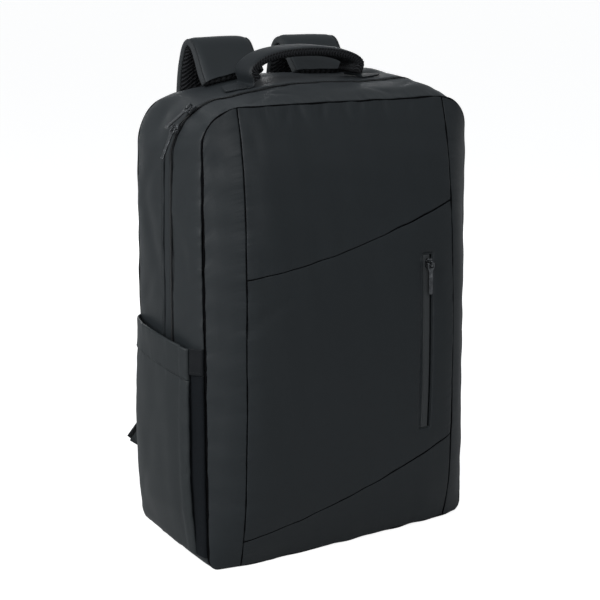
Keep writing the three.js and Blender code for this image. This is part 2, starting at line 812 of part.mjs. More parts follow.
for (const [name, side] of [["left", -1], ["right", 1]]) {
  const foot = () => pocketFoot;
  const hemLow = (y) => hemFoot(y) - seamGap;
  add(
    `pocket_${name}`,
    sideWall(side, pocketYs, pocketShares, foot, hemLow, pocketStand, pocketWall),
    pocketCloth,
  );
  add(
    `pocket_hem_${name}`,
    sideWall(side, pocketYs, steps(4), hemFoot, pocketEdge, pocketStand, pocketWall + hemProud),
    pocketCloth,
  );
  add(
    `pocket_web_${name}`,
    sideWall(
      side,
      steps(3, pocketFrontY + webFold, webEdge),
      webShares,
      foot,
      () => webFoot - seamGap,
      () => pocketClear,
      webWall,
    ),
    tapeCloth,
  );
  add(
    `pocket_web_hem_${name}`,
    sideWall(
      side,
      steps(3, pocketFrontY - seamGap, webEdge),
      steps(3),
      () => webFoot,
      () => webTop,
      webHemStand,
      pocketWall,
    ),
    pocketCloth,
  );
}

// The handle

const handlePoint = (x, up) =>
  new THREE.Vector3(handleX + x, handleY, topSurface(handleX + x, handleY) + gap + up * handleRise);
const handlePath = [
  ...handleRows.map(({ out, up }) => handlePoint((-out * handleSpan) / 2, up)),
  ...handleRows.slice(0, -1).reverse().map(({ out, up }) => handlePoint((out * handleSpan) / 2, up)),
];
const handleHalves = handlePath.map((_, row) =>
  row === 0 || row === handlePath.length - 1 ? footTipWidth / 2 : handleWidth / 2,
);
const onTop = (point) => point.setZ(point.z + topSurface(point.x, point.y) - topSurface(point.x, handleY));
const forwards = new THREE.Vector3(0, -1, 0);
add("handle_cover", ribbon(handlePath, forwards, handleHalves, 0, coverWall, onTop), shellCloth);
const padPath = handlePath.slice(footRows, -footRows);
const padHalves = handleHalves.slice(footRows, -footRows);
add("handle_pad", ribbon(padPath, forwards, padHalves, -gap - handlePad, -gap, onTop), meshCloth);

// The shoulder straps

const loopZ = topSurface(strapX, strapBaseY);
const strapRows = [
  ...loopRows.map(({ back, up }) => [strapBaseY + back * loopReach, loopZ + up * loopRise, 0]),
  ...fallRows.map(({ back, down }) => [strapBaseY + back * loopReach, loopZ - down * strapDrop, down]),
];

for (const [name, side] of [["left", -1], ["right", 1]]) {
  const path = strapRows.map(
    ([y, z, down]) => new THREE.Vector3(side * lerp(strapX, strapEndX, down ** 2.2), y, z),
  );
  const halves = strapRows.map(([, , down]) => lerp(strapWidth, strapEndWidth, down ** 1.6) / 2);
  const onBag = (point, row) => (row === 0 ? point.setZ(topSurface(point.x, point.y) + 2 * gap) : point);
  const across = new THREE.Vector3(1, 0, 0);
  const half = strapThickness / 2;
  add(`strap_cover_${name}`, ribbon(path, across, halves, half - coverWall, half, onBag), shellCloth);
  add(`strap_pad_${name}`, ribbon(path, across, halves, -half, half - coverWall - gap, onBag), meshCloth);

  // The adjuster hangs from the strap's end and the webbing runs from it to the tab in the back seam.
  const end = path.at(-1);
  const seamX = side * (halfWidth + baseSpread * (1 - tabZ / bodyHeight) - tabWall);
  const tabEnd = new THREE.Vector3(seamX - side * tabLean, halfDepth + tabReach, tabZ);
  const adjusterWay = tabEnd.clone().sub(end).normalize();
  const outwards = new THREE.Vector3(side, 0, 0).cross(adjusterWay).multiplyScalar(side).normalize();
  const wide = adjusterWay.clone().cross(outwards);
  const top = end.clone().addScaledVector(adjusterWay, strapEndWidth / 4);
  const rim = webbingWidth / 2 + adjusterRim;
  const inside = webbingWidth / 2 + slotPlay;
  const slot = (adjusterLength - 3 * adjusterBar) / 2;
  const slots = [0, 1].map((i) => {
    const low = adjusterBar + i * (slot + adjusterBar);
    return roundedBox(-inside, inside, low, low + slot, slotPlay);
  });
  const adjuster = add(
    `adjuster_${name}`,
    plate(roundedBox(-rim, rim, 0, adjusterLength, adjusterRound), slots, -adjusterWall / 2, adjusterWall),
    adjusterPlastic,
  );
  adjuster.position.copy(top);
  adjuster.quaternion.setFromRotationMatrix(new THREE.Matrix4().makeBasis(wide, adjusterWay, outwards));

  const webbingStart = top.clone().addScaledVector(adjusterWay, adjusterLength + webbingWall / 2);
  const webbingPath = steps(6).map((share) => {
    const point = webbingStart.clone().lerp(tabEnd, share);
    return point.setY(point.y + webbingSag * Math.sin(Math.PI * share));
  });
  const webbingHalves = webbingPath.map(() => webbingWidth / 2);
  add(
    `webbing_${name}`,
    ribbon(webbingPath, across, webbingHalves, -webbingWall / 2, webbingWall / 2),
    webbingCloth,
  );

  // The tab narrows from its seam to its tip, which is as wide as the webbing.
  const tipHalf = webbingWidth / 2 + tabMargin;
  const tipWide = wide.clone().multiplyScalar(Math.sign(wide.z) * tipHalf);
  const tipMiddle = tabEnd.clone().addScaledVector(adjusterWay, gap + tabWall / 2);
  const seamMiddle = new THREE.Vector3(seamX, halfDepth + gap + 0.6 * tabWall, tabZ);
  const seamWide = new THREE.Vector3(0, 0, tabHeight / 2);
  const tabPoint = (u, v, offset) => {
    const seam = seamMiddle.clone().addScaledVector(seamWide, v);
    const tip = tipMiddle.clone().addScaledVector(tipWide, v);
    return seam.lerp(tip, u).add(new THREE.Vector3(side * offset, offset / 2, 0));
  };
  const tabLayer = (offset) => steps(3).map((u) => steps(2, -1, 1).map((v) => tabPoint(u, v, offset)));
  add(`side_tab_${name}`, wallBetween(tabLayer(tabWall / 2), tabLayer(-tabWall / 2)), pocketCloth);
}

export default bag;
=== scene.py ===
import math

import bmesh
import bpy
import numpy as np
from mathutils import Matrix, Vector


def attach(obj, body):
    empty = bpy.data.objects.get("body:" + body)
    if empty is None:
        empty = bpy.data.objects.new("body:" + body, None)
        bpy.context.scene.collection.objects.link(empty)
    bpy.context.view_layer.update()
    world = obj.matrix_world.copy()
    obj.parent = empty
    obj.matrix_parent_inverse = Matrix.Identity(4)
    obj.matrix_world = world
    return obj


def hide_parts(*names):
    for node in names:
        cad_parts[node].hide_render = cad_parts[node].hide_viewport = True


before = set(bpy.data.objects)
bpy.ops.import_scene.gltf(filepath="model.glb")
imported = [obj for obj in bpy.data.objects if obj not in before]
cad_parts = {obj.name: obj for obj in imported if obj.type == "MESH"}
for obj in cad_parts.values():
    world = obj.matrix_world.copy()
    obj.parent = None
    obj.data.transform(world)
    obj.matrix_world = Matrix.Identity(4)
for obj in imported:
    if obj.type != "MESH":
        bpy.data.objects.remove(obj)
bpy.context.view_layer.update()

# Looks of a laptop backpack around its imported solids.
# Sizes in the dictionaries are millimetres, with the front towards -Y; every mesh is made in metres.

mm = 0.001
print("frame loaded,", len(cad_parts), "solids")

# form: the stuffed bag's own curves, as the solids have them
bag = {
    "halfWidth": 151, "height": 440, "halfDepth": 67.5, "seamGap": 0.6,
    "cornerRadius": 46, "baseRadius": 26, "sideBulge": 7.5, "archRise": 16.5, "baseSpread": 3.5,
    "frontCrown": 28, "backCrown": 5, "seamLean": 7, "leftSetback": 7.5, "rightSetback": 2,
    "shoulderDrop": 4.5, "shoulderX": -100, "shoulderSpan": 46, "fullRise": 11, "fullX": 122, "fullSpan": 40,
    "zipY": -13.5, "zipLow": 196, "zipFront": -16, "zipTopWidth": 5, "zipSideWidth": 19.5,
}
gussetRows = {
    "at": [0, 0.06, 0.16, 0.37, 0.62, 0.82, 0.94, 1],
    "corner": [0.72, 0.78, 0.87, 1, 1, 0.96, 0.93, 0.92],
    "base": [0.34, 0.42, 0.54, 0.7, 0.9, 1, 1, 1],
    "bulge": [0, 0.38, 0.74, 1, 0.94, 0.66, 0.28, 0],
    "arch": [0, 0.2, 0.56, 0.86, 1.06, 1.18, 1.2, 1.14],
}
crownRows = {
    "at": [0, 0.05, 0.14, 0.37, 0.63, 0.85, 0.95, 1],
    "out": [0.42, 0.66, 0.88, 1, 0.92, 0.66, 0.32, 0.08],
}


def readCurve(rows, column, at):  # a smooth curve through a table's points that never overshoots them
    x, y = np.array(rows["at"], float), np.array(rows[column], float)
    step = np.diff(x)
    slope = np.diff(y) / step
    lean = np.zeros(len(x))
    same = slope[1:] * slope[:-1] > 0
    lean[1:-1][same] = 2 * slope[1:][same] * slope[:-1][same] / (slope[1:][same] + slope[:-1][same])
    lean[0], lean[-1] = slope[0], slope[-1]
    at = np.clip(at, x[0], x[-1])
    k = np.clip(np.searchsorted(x, at) - 1, 0, len(x) - 2)
    t = (at - x[k]) / step[k]
    early = (1 + 2 * t) * (1 - t) ** 2 * y[k] + t * (1 - t) ** 2 * step[k] * lean[k]
    return early + t * t * (3 - 2 * t) * y[k + 1] - t * t * (1 - t) * step[k] * lean[k + 1]


def easeBetween(value, low, high):
    t = np.clip((value - low) / (high - low), 0, 1)
    return t * t * (3 - 2 * t)


def sectionAt(y, column):
    return readCurve(gussetRows, column, (y + bag["halfDepth"]) / (2 * bag["halfDepth"]))


wanderWaves = [  # seams and cloth wander a little, together, so that nothing opens between them
    ((0.9, 0.2, 0.4), 47, (0.2, 0.5, 0.5)), ((-0.3, 0.5, 0.8), 66, (0.6, 0.3, 0.1)),
    ((0.5, -0.7, 0.5), 91, (0.3, -0.5, 0.4)), ((0.1, 0.9, -0.4), 38, (-0.4, 0.2, 0.5)),
    ((0.2, 0.1, 1.0), 29, (0.5, 0.4, 0.0)), ((1.0, -0.1, 0.1), 31, (0.0, 0.4, 0.5)),
]


zipCalm = {"x": 85.5, "z": 198, "half": 92, "before": -70, "from": 10, "to": 26}  # near the front zip
wanderDepth = 0.3


def wander(points):
    moved = np.zeros_like(points)
    for number, (way, length, push) in enumerate(wanderWaves):
        wave = np.sin(2 * np.pi * (points @ np.array(way)) / length + 1.7 * number)
        moved += wanderDepth * wave[..., None] * np.array(push)
    past = np.maximum(0, np.abs(points[..., 2] - zipCalm["z"]) - zipCalm["half"])
    aside = np.hypot(points[..., 0] - zipCalm["x"], past)
    calm = easeBetween(aside, zipCalm["from"], zipCalm["to"])  # the front zip stays straight
    calm = np.where(points[..., 1] < zipCalm["before"], calm, 1)
    return moved * calm[..., None]


def soften(x, y, z):  # from a plain box with round corners to the stuffed bag
    x, y, z = np.broadcast_arrays(np.asarray(x, float), np.asarray(y, float), np.asarray(z, float))
    across = np.minimum(1, np.abs(x) / bag["halfWidth"])
    up = z / bag["height"]
    front = easeBetween(-y, -bag["zipY"], bag["halfDepth"])
    back = easeBetween(y, 0.6 * bag["halfDepth"], bag["halfDepth"])
    flank = bag["sideBulge"] * sectionAt(y, "bulge") * across**3 * (1 - 0.6 * np.abs(2 * up - 1) ** 4)
    spread = bag["baseSpread"] * (1 - up) * across
    lean = bag["seamLean"] * front * up**2 * np.sin(np.pi * across)
    setback = np.where(x < 0, bag["leftSetback"], bag["rightSetback"]) * up * across**8
    proud = bag["frontCrown"] * (1 - across**8) * readCurve(crownRows, "out", up) - setback
    stuffed = bag["backCrown"] * (1 - across**4) * (1 - (2 * up - 1) ** 4)
    slack = bag["shoulderDrop"] * up**6 * np.exp(-(((x - bag["shoulderX"]) / bag["shoulderSpan"]) ** 2))
    full = bag["fullRise"] * up**6 * np.exp(-(((x - bag["fullX"]) / bag["fullSpan"]) ** 2))
    arched = bag["archRise"] * (1 - across**2) * up**4
    plain = np.stack([x + np.sign(x) * (flank + spread - lean), y - front * proud + back * stuffed,
                      z + sectionAt(y, "arch") * (arched - slack + full)], -1)
    return plain + wander(plain)


def cornerCut(radius, past):
    return np.where(past > 0, radius - np.sqrt(np.maximum(0, radius**2 - past**2)), 0)


def outlineTop(x, y):
    radius = bag["cornerRadius"] * sectionAt(y, "corner")
    return bag["height"] - cornerCut(radius, np.abs(x) - bag["halfWidth"] + radius)


def outlineBase(x, y):
    radius = bag["baseRadius"] * sectionAt(y, "base")
    return cornerCut(radius, np.abs(x) - bag["halfWidth"] + radius)


def outlineSide(y, z):
    radius = bag["baseRadius"] * sectionAt(y, "base")
    return -bag["halfWidth"] + cornerCut(radius, radius - z)


def topSurface(x, y):
    return soften(x, y, outlineTop(x, y))[..., 2]


def overTop(i, y, inset=0.0):  # up the left side, over the top and down the right side, for i from 0 to 34
    half = np.where(i <= 17, i, 34 - i)
    radius = bag["cornerRadius"] * sectionAt(y, "corner") - inset
    cx, cz = bag["halfWidth"] - inset - radius, bag["height"] - inset - radius
    turn = np.radians(180 - 15 * (np.clip(half, 6, 12) - 6))
    x = np.where(half < 6, inset - bag["halfWidth"], -cx + radius * np.cos(turn))
    x = np.where(half > 12, -cx * (17 - half) / 5, x)
    z = np.where(half < 6, bag["zipLow"] + (cz - bag["zipLow"]) * half / 6, cz + radius * np.sin(turn))
    return np.where(i <= 17, x, -x), z


def underBase(i, y, inset=0.0):  # down the left side, under the base and up the right, for i from 0 to 28
    half = np.where(i <= 14, i, 28 - i)
    radius = bag["baseRadius"] * sectionAt(y, "base") - inset
    cx, cz = bag["halfWidth"] - inset - radius, inset + radius
    high = bag["zipLow"] - bag["seamGap"]
    turn = np.radians(180 + 22.5 * (np.clip(half, 6, 10) - 6))
    x = np.where(half < 6, inset - bag["halfWidth"], -cx + radius * np.cos(turn))
    x = np.where(half > 10, -cx * (14 - half) / 4, x)
    z = np.where(half < 6, high + (cz - high) * half / 6, cz + radius * np.sin(turn))
    return np.where(i <= 14, x, -x), z


def evenLoop(loop, last, y):  # the loop's own index at even lengths, and its length
    i = np.linspace(0, last, 40 * last + 1)
    x, z = loop(i, np.full_like(i, y))
    points = soften(x, np.full_like(i, y), z)
    run = np.concatenate([[0], np.cumsum(np.linalg.norm(np.diff(points, axis=0), axis=1))])
    return (lambda share: np.interp(share * run[-1], run, i)), run[-1]


def ripple(at, seed, lengths):  # small waves, the same on each run
    rng = np.random.default_rng(seed)
    phases = rng.uniform(0, 2 * np.pi, len(lengths))
    total = sum(np.sin(2 * np.pi * at / length + phase) for length, phase in zip(lengths, phases))
    return total / len(lengths)


nearlyTurn = 6.28


def swell(points, seed, lengths):  # a slow unevenness of stuffed cloth
    rng = np.random.default_rng(seed)
    total = np.zeros(len(points))
    for length in lengths:
        way = rng.normal(size=3)
        way /= np.linalg.norm(way)
        total += np.sin(2 * np.pi * points @ way / length + rng.uniform(0, nearlyTurn))
    return total / len(lengths)


def creaseDepth(points, creases):  # each crease: where, which way, its length, width and depth
    total = np.zeros(len(points))
    for at, way, length, width, depth in creases:
        way = np.array(way, float) / np.linalg.norm(way)
        away = points - np.array(at, float)
        along = away @ way
        aside = np.linalg.norm(away - along[:, None] * way, axis=1)
        total += depth * np.exp(-((along / length) ** 2)) * np.exp(-((aside / width) ** 2))
    return total


# shaders
def newGroup(name, inputs, outputs):
    group = bpy.data.node_groups.new(name, "ShaderNodeTree")
    for label, kind, value in inputs:
        socket = group.interface.new_socket(name=label, in_out="INPUT", socket_type=kind)
        if value is not None:
            socket.default_value = value
    for label, kind in outputs:
        group.interface.new_socket(name=label, in_out="OUTPUT", socket_type=kind)
    start = group.nodes.new("NodeGroupInput")
    end = group.nodes.new("NodeGroupOutput")
    return group, start, end


def mathNode(tree, operation, first, second=None, third=None):
    node = tree.nodes.new("ShaderNodeMath")
    node.operation = operation
    for slot, value in enumerate((first, second, third)):
        if value is None:
            continue
        if isinstance(value, (int, float)):
            node.inputs[slot].default_value = value
        else:
            tree.links.new(value, node.inputs[slot])
    return node.outputs[0]


def noiseNode(tree, place, scale, detail=3.0, roughness=0.5, stretch=None):
    if stretch:
        mapping = tree.nodes.new("ShaderNodeMapping")
        mapping.inputs["Scale"].default_value = stretch
        tree.links.new(place, mapping.inputs["Vector"])
        place = mapping.outputs[0]
    node = tree.nodes.new("ShaderNodeTexNoise")
    node.inputs["Scale"].default_value = scale
    node.inputs["Detail"].default_value = detail
    node.inputs["Roughness"].default_value = roughness
    tree.links.new(place, node.inputs["Vector"])
    return node.outputs["Fac"]


def weaveGroup():  # crossing threads that follow the cloth, with small differences from thread to thread
    group, start, end = newGroup(
        "threadWeave",
        [("Place", "NodeSocketVector", None), ("Threads", "NodeSocketFloat", 2400.0),
         ("Uneven", "NodeSocketFloat", 0.3)],
        [("Height", "NodeSocketFloat"), ("Tone", "NodeSocketFloat")])
    apart = group.nodes.new("ShaderNodeSeparateXYZ")
    group.links.new(start.outputs["Place"], apart.inputs[0])
    waves = []
    for axis in (0, 1):
        turns = mathNode(group, "MULTIPLY", apart.outputs[axis], start.outputs["Threads"])
        waves.append(mathNode(group, "SINE", mathNode(group, "MULTIPLY", turns, math.pi)))
    crossed = mathNode(group, "MULTIPLY", waves[0], waves[1])
    over = mathNode(group, "MULTIPLY_ADD", crossed, 0.5, 0.5)
    streak = mathNode(group, "ADD", noiseNode(group, start.outputs["Place"], 1.0, 2, 0.6, (2200, 60, 1)),
                      noiseNode(group, start.outputs["Place"], 1.0, 2, 0.6, (60, 2200, 1)))
    uneven = mathNode(group, "MULTIPLY", mathNode(group, "SUBTRACT", streak, 1.0), start.outputs["Uneven"])
    height = mathNode(group, "ADD", over, uneven)
    group.links.new(height, end.inputs["Height"])
    group.links.new(mathNode(group, "ADD", 0.5, uneven), end.inputs["Tone"])
    return group


fadeBase = 2.718


def seamGroup():  # fine gathers that run in from a sewn edge, and a mask of how near that edge is
    group, start, end = newGroup(
        "seamGather",
        [("Place", "NodeSocketVector", None), ("Away", "NodeSocketVector", None),
         ("Reach", "NodeSocketFloat", 0.007)],
        [("Height", "NodeSocketFloat"), ("Near", "NodeSocketFloat")])
    away = group.nodes.new("ShaderNodeSeparateXYZ")
    group.links.new(start.outputs["Away"], away.inputs[0])
    masks = []
    for axis in (0, 1):
        share = mathNode(group, "DIVIDE", away.outputs[axis], start.outputs["Reach"])
        masks.append(mathNode(group, "POWER", fadeBase, mathNode(group, "MULTIPLY", share, -1.0)))
    alongV = noiseNode(group, start.outputs["Place"], 1.0, 2, 0.5, (18, 150, 1))
    alongU = noiseNode(group, start.outputs["Place"], 1.0, 2, 0.5, (150, 18, 1))
    height = mathNode(group, "ADD", mathNode(group, "MULTIPLY", masks[0], alongV),
                      mathNode(group, "MULTIPLY", masks[1], alongU))
    group.links.new(height, end.inputs["Height"])
    group.links.new(mathNode(group, "MAXIMUM", masks[0], masks[1]), end.inputs["Near"])
    return group


knotsInMetre = 520


def ribGroup():  # slanting ribs of spacer mesh with open holes between them
    group, start, end = newGroup(
        "spacerRibs",
        [("Place", "NodeSocketVector", None), ("Ribs", "NodeSocketFloat", 330.0),
         ("Slant", "NodeSocketFloat", 0.7)],
        [("Height", "NodeSocketFloat"), ("Open", "NodeSocketFloat")])
    apart = group.nodes.new("ShaderNodeSeparateXYZ")
    group.links.new(start.outputs["Place"], apart.inputs[0])
    stray = mathNode(group, "MULTIPLY", noiseNode(group, start.outputs["Place"], 60.0, 2), 0.0006)
    straight = mathNode(group, "MULTIPLY_ADD", apart.outputs[0], start.outputs["Slant"], apart.outputs[1])
    slanted = mathNode(group, "ADD", straight, stray)
    turns = mathNode(group, "MULTIPLY", slanted, start.outputs["Ribs"])
    rib = mathNode(group, "SINE", mathNode(group, "MULTIPLY", turns, 2 * math.pi))
    across = mathNode(group, "MULTIPLY_ADD", apart.outputs[1], -0.55, apart.outputs[0])
    knots = mathNode(group, "SINE", mathNode(group, "MULTIPLY", across, 2 * math.pi * knotsInMetre))
    height = mathNode(group, "MULTIPLY_ADD", rib, 0.5, 0.5)
    knotted = mathNode(group, "MULTIPLY_ADD", knots, 0.12, height)
    filled = mathNode(group, "SMOOTH_MIN", mathNode(group, "MULTIPLY", height, 1.8), 1.0, 0.2)
    hole = mathNode(group, "SUBTRACT", 1.0, filled)
    group.links.new(knotted, end.inputs["Height"])
    group.links.new(hole, end.inputs["Open"])
    return group


weave, gather, ribs = weaveGroup(), seamGroup(), ribGroup()


def placedGroup(tree, group, place, **values):
    node = tree.nodes.new("ShaderNodeGroup")
    node.node_tree = group
    tree.links.new(place, node.inputs["Place"])
    for label, value in values.items():
        if isinstance(value, (int, float)):
            node.inputs[label].default_value = value
        else:
            tree.links.new(value, node.inputs[label])
    return node


def attributeNode(tree, name):
    node = tree.nodes.new("ShaderNodeAttribute")
    node.attribute_name = name
    return node.outputs["Vector"]


def blendColour(tree, share, first, second):
    node = tree.nodes.new("ShaderNodeMix")
    node.data_type = "RGBA"
    node.clamp_factor = True
    for socket, value in ((node.inputs[6], first), (node.inputs[7], second)):
        if isinstance(value, tuple):
            socket.default_value = (*value, 1)
        else:
            tree.links.new(value, socket)
    tree.links.new(share, node.inputs[0])
    return node.outputs[2]


def bumpNode(tree, height, strength, distance, before=None):
    node = tree.nodes.new("ShaderNodeBump")
    node.inputs["Strength"].default_value = strength
    node.inputs["Distance"].default_value = distance
    tree.links.new(height, node.inputs["Height"])
    if before is not None:
        tree.links.new(before, node.inputs["Normal"])
    return node.outputs[0]


def shaderBase(name, roughness, specular):
    material = bpy.data.materials.new(name)
    material.use_nodes = True
    tree = material.node_tree
    shader = tree.nodes["Principled BSDF"]
    shader.inputs["Specular IOR Level"].default_value = specular
    shader.inputs["Roughness"].default_value = roughness
    return material, tree, shader


def clothShader(name, look):
    material, tree, shader = shaderBase(name, look["roughness"], look["specular"])
    shader.inputs["Sheen Weight"].default_value = look["sheen"]
    shader.inputs["Sheen Roughness"].default_value = 0.45
    shader.inputs["Sheen Tint"].default_value = (0.72, 0.8, 0.88, 1)
    place, away = attributeNode(tree, "clothPlace"), attributeNode(tree, "seamAway")
    threads = placedGroup(tree, weave, place, Threads=look["threads"], Uneven=look["uneven"])
    gathers = placedGroup(tree, gather, place, Away=away, Reach=look["gatherReach"])
    mottle = noiseNode(tree, place, look["mottleScale"], 4, 0.55)
    handling = noiseNode(tree, place, 900, 3, 0.7)
    dark = tuple(c * (1 - look["mottle"]) for c in look["colour"])
    light = tuple(min(1, c * (1 + look["mottle"])) for c in look["colour"])
    base = blendColour(tree, mottle, dark, light)
    base = blendColour(tree, mathNode(tree, "MULTIPLY", threads.outputs["Tone"], look["threadTone"]), base,
                       tuple(min(1, c * 1.5) for c in look["colour"]))
    # lighter colour near the sewn edges: a painted highlight on the rolled seams
    paler = mathNode(tree, "MULTIPLY", gathers.outputs["Near"], look["edgeHighlight"])
    base = blendColour(tree, paler, base, tuple(min(1, c * 1.7) for c in look["colour"]))
    tree.links.new(base, shader.inputs["Base Color"])
    rough = mathNode(tree, "MULTIPLY_ADD", mottle, look["roughSpread"],
                     look["roughness"] - look["roughSpread"] / 2)
    rough = mathNode(tree, "MULTIPLY_ADD", handling, 0.06, mathNode(tree, "SUBTRACT", rough, 0.03))
    tree.links.new(rough, shader.inputs["Roughness"])
    normal = bumpNode(tree, threads.outputs["Height"], look["weaveStrength"], look["weaveDepth"])
    normal = bumpNode(tree, gathers.outputs["Height"], look["gatherStrength"], look["gatherDepth"], normal)
    normal = bumpNode(tree, noiseNode(tree, place, 24, 4, 0.5), 0.35, 0.0012, normal)
    tree.links.new(normal, shader.inputs["Normal"])
    return material


coated = {  # smooth coated polyester, as on most of the bag
    "colour": (0.0098, 0.0128, 0.0150), "roughness": 0.5, "specular": 0.3, "sheen": 0.04, "threads": 2600,
    "uneven": 0.35, "gatherReach": 0.007, "mottleScale": 9, "mottle": 0.07, "threadTone": 0.16,
          # how much lighter the cloth is painted near its sewn edges, a painted highlight
          "edgeHighlight": 0.12,
    "roughSpread": 0.1, "weaveStrength": 0.22, "weaveDepth": 0.0001, "gatherStrength": 0.5,
          "gatherDepth": 0.0016,
}
looks = {
    "shellCoat": coated,
    "sideCoat": coated | {"colour": (0.0115, 0.0145, 0.0165), "roughness": 0.5, "mottleScale": 7},
    "pocketCoat": coated | {"colour": (0.0125, 0.0158, 0.0175), "roughness": 0.54, "mottle": 0.09},
    "webHemCoat": coated | {"colour": (0.0042, 0.0052, 0.0066), "roughness": 0.65, "specular": 0.15},
    "stretchWeb": coated | {"colour": (0.0044, 0.0056, 0.0072), "roughness": 0.85, "specular": 0.1,
                            "threads": 1500,
                            "uneven": 0.6, "weaveStrength": 0.5, "weaveDepth": 0.0003},
    "zipTapeWeave": coated | {"colour": (0.0105, 0.0135, 0.0155), "roughness": 0.6, "specular": 0.28,
                              "threads": 1300,
                              "uneven": 0.7, "weaveStrength": 0.7, "weaveDepth": 0.0003, "threadTone": 0.4,
                              "gatherStrength": 0.15},
    "strapCoat": coated | {"colour": (0.0160, 0.0195, 0.0220), "roughness": 0.52, "gatherReach": 0.005},
    "handleCoat": coated | {"colour": (0.0080, 0.0105, 0.0125), "roughness": 0.56, "gatherReach": 0.005},
    "bindingTape": coated | {"colour": (0.0230, 0.0260, 0.0280), "roughness": 0.7, "specular": 0.25,
                             "threads": 1400,
                             "weaveStrength": 0.7, "weaveDepth": 0.0003, "threadTone": 0.4},
    "lipTape": coated | {"colour": (0.0260, 0.0290, 0.0310), "roughness": 0.6, "threads": 1400,
                         "threadTone": 0.4,
                         "weaveStrength": 0.5, "weaveDepth": 0.0003, "gatherStrength": 0.1},
    # near-black cloth of the seam tubes: painted shade in the seam grooves
    "seamShadowTube": coated | {"colour": (0.0012, 0.0012, 0.0016), "roughness": 0.9, "specular": 0.05,
                            "sheen": 0.0},
    "webbingWeave": coated | {"colour": (0.0070, 0.0080, 0.0090), "roughness": 0.7, "specular": 0.25,
                              "threads": 620,
                              "uneven": 0.8, "weaveStrength": 0.9, "weaveDepth": 0.0007, "threadTone": 0.5,
                              "gatherStrength": 0.1},
    "backWeave": coated | {"colour": (0.0080, 0.0090, 0.0105), "roughness": 0.75, "specular": 0.2,
                           "threads": 900,
                           "uneven": 0.5, "weaveStrength": 0.7, "weaveDepth": 0.0005, "threadTone": 0.4},
}
cloths = {name: clothShader(name, look) for name, look in looks.items()}


def meshShader(name, look):  # ribbed spacer mesh
    material, tree, shader = shaderBase(name, 0.85, 0.15)
    shader.inputs["Sheen Weight"].default_value = 0.06
    shader.inputs["Sheen Tint"].default_value = (0.75, 0.8, 0.88, 1)
    place = attributeNode(tree, "clothPlace")
    rib = placedGroup(tree, ribs, place, Ribs=look["ribs"], Slant=look["slant"])
    # the open holes between the ribs are coloured near-black: painted shade in the mesh's recesses
    base = blendColour(tree, rib.outputs["Open"], look["colour"], look["hole"])
    base = blendColour(tree, mathNode(tree, "MULTIPLY", noiseNode(tree, place, 700, 3, 0.6), 0.5), base,
                       look["hole"])
    tree.links.new(base, shader.inputs["Base Color"])
    rough = mathNode(tree, "MULTIPLY_ADD", rib.outputs["Open"], 0.12, 0.78)
    tree.links.new(rough, shader.inputs["Roughness"])
    normal = bumpNode(tree, rib.outputs["Height"], 1.0, look["depth"])
    normal = bumpNode(tree, noiseNode(tree, place, 1500, 2, 0.6), 0.4, 0.0003, normal)
    tree.links.new(normal, shader.inputs["Normal"])
    return material


ribLook = {  # the mesh's ribs
    "strap": {"pitch": 4.6, "slant": 0.7, "depth": 0.9},
    "handle": {"pitch": 3.4, "slant": 0.9, "depth": 0.8},
}
meshLooks = {
    # the near-black hole colours are painted shade in the open mesh
    "strapRibs": {"colour": (0.0200, 0.0215, 0.0240), "hole": (0.0012, 0.0012, 0.0016), "depth": 0.0012,
                  "ribs": 1 / (ribLook["strap"]["pitch"] * mm), "slant": ribLook["strap"]["slant"]},
    "handleRibs": {"colour": (0.0170, 0.0180, 0.0200), "hole": (0.0012, 0.0012, 0.0016), "depth": 0.0010,
                   "ribs": 1 / (ribLook["handle"]["pitch"] * mm), "slant": ribLook["handle"]["slant"]},
    "padRibs": {"colour": (0.0115, 0.0125, 0.0140), "hole": (0.002, 0.002, 0.0025), "depth": 0.0012,
                "ribs": 260,
                "slant": 0.0},
}
meshes = {name: meshShader(name, look) for name, look in meshLooks.items()}


def threadShader(name, low, high):
    material, tree, shader = shaderBase(name, 0.55, 0.3)
    place = tree.nodes.new("ShaderNodeTexCoord").outputs["Object"]
    shade = noiseNode(tree, place, 260, 2)
    base = blendColour(tree, shade, low, high)
    tree.links.new(base, shader.inputs["Base Color"])
    tree.links.new(mathNode(tree, "MULTIPLY_ADD", shade, 0.15, 0.48), shader.inputs["Roughness"])
    tree.links.new(bumpNode(tree, noiseNode(tree, place, 5200, 2), 0.5, 0.0001), shader.inputs["Normal"])
    return material


def metalShader():
    look = {"colour": (0.06, 0.064, 0.07), "paler": (0.5, 0.52, 0.54), "roughness": 0.2}
    material, tree, shader = shaderBase("gunmetal", look["roughness"], 0.5)
    shader.inputs["Metallic"].default_value = 1.0
    place = tree.nodes.new("ShaderNodeTexCoord").outputs["Object"]
    cloud = noiseNode(tree, place, 240, 4, 0.6)
    rubbed = mathNode(tree, "SMOOTH_MIN", mathNode(tree, "POWER", cloud, 2.4), 0.6, 0.1)
    tree.links.new(blendColour(tree, rubbed, look["colour"], look["paler"]), shader.inputs["Base Color"])
    tree.links.new(mathNode(tree, "MULTIPLY_ADD", cloud, 0.2, 0.14), shader.inputs["Roughness"])
    fine = noiseNode(tree, place, 1.0, 2, 0.5, (5200, 5200, 400))
    tree.links.new(bumpNode(tree, fine, 0.25, 0.00008), shader.inputs["Normal"])
    return material


def plasticShader(name, colour, roughness, grain):
    material, tree, shader = shaderBase(name, roughness, 0.45)
    place = tree.nodes.new("ShaderNodeTexCoord").outputs["Object"]
    cloud = noiseNode(tree, place, 90, 3)
    tree.links.new(blendColour(tree, cloud, colour, tuple(c * 1.6 for c in colour)),
                   shader.inputs["Base Color"])
    tree.links.new(mathNode(tree, "MULTIPLY_ADD", cloud, 0.16, roughness - 0.08), shader.inputs["Roughness"])
    tree.links.new(bumpNode(tree, noiseNode(tree, place, grain, 2), 0.3, 0.0001), shader.inputs["Normal"])
    return material


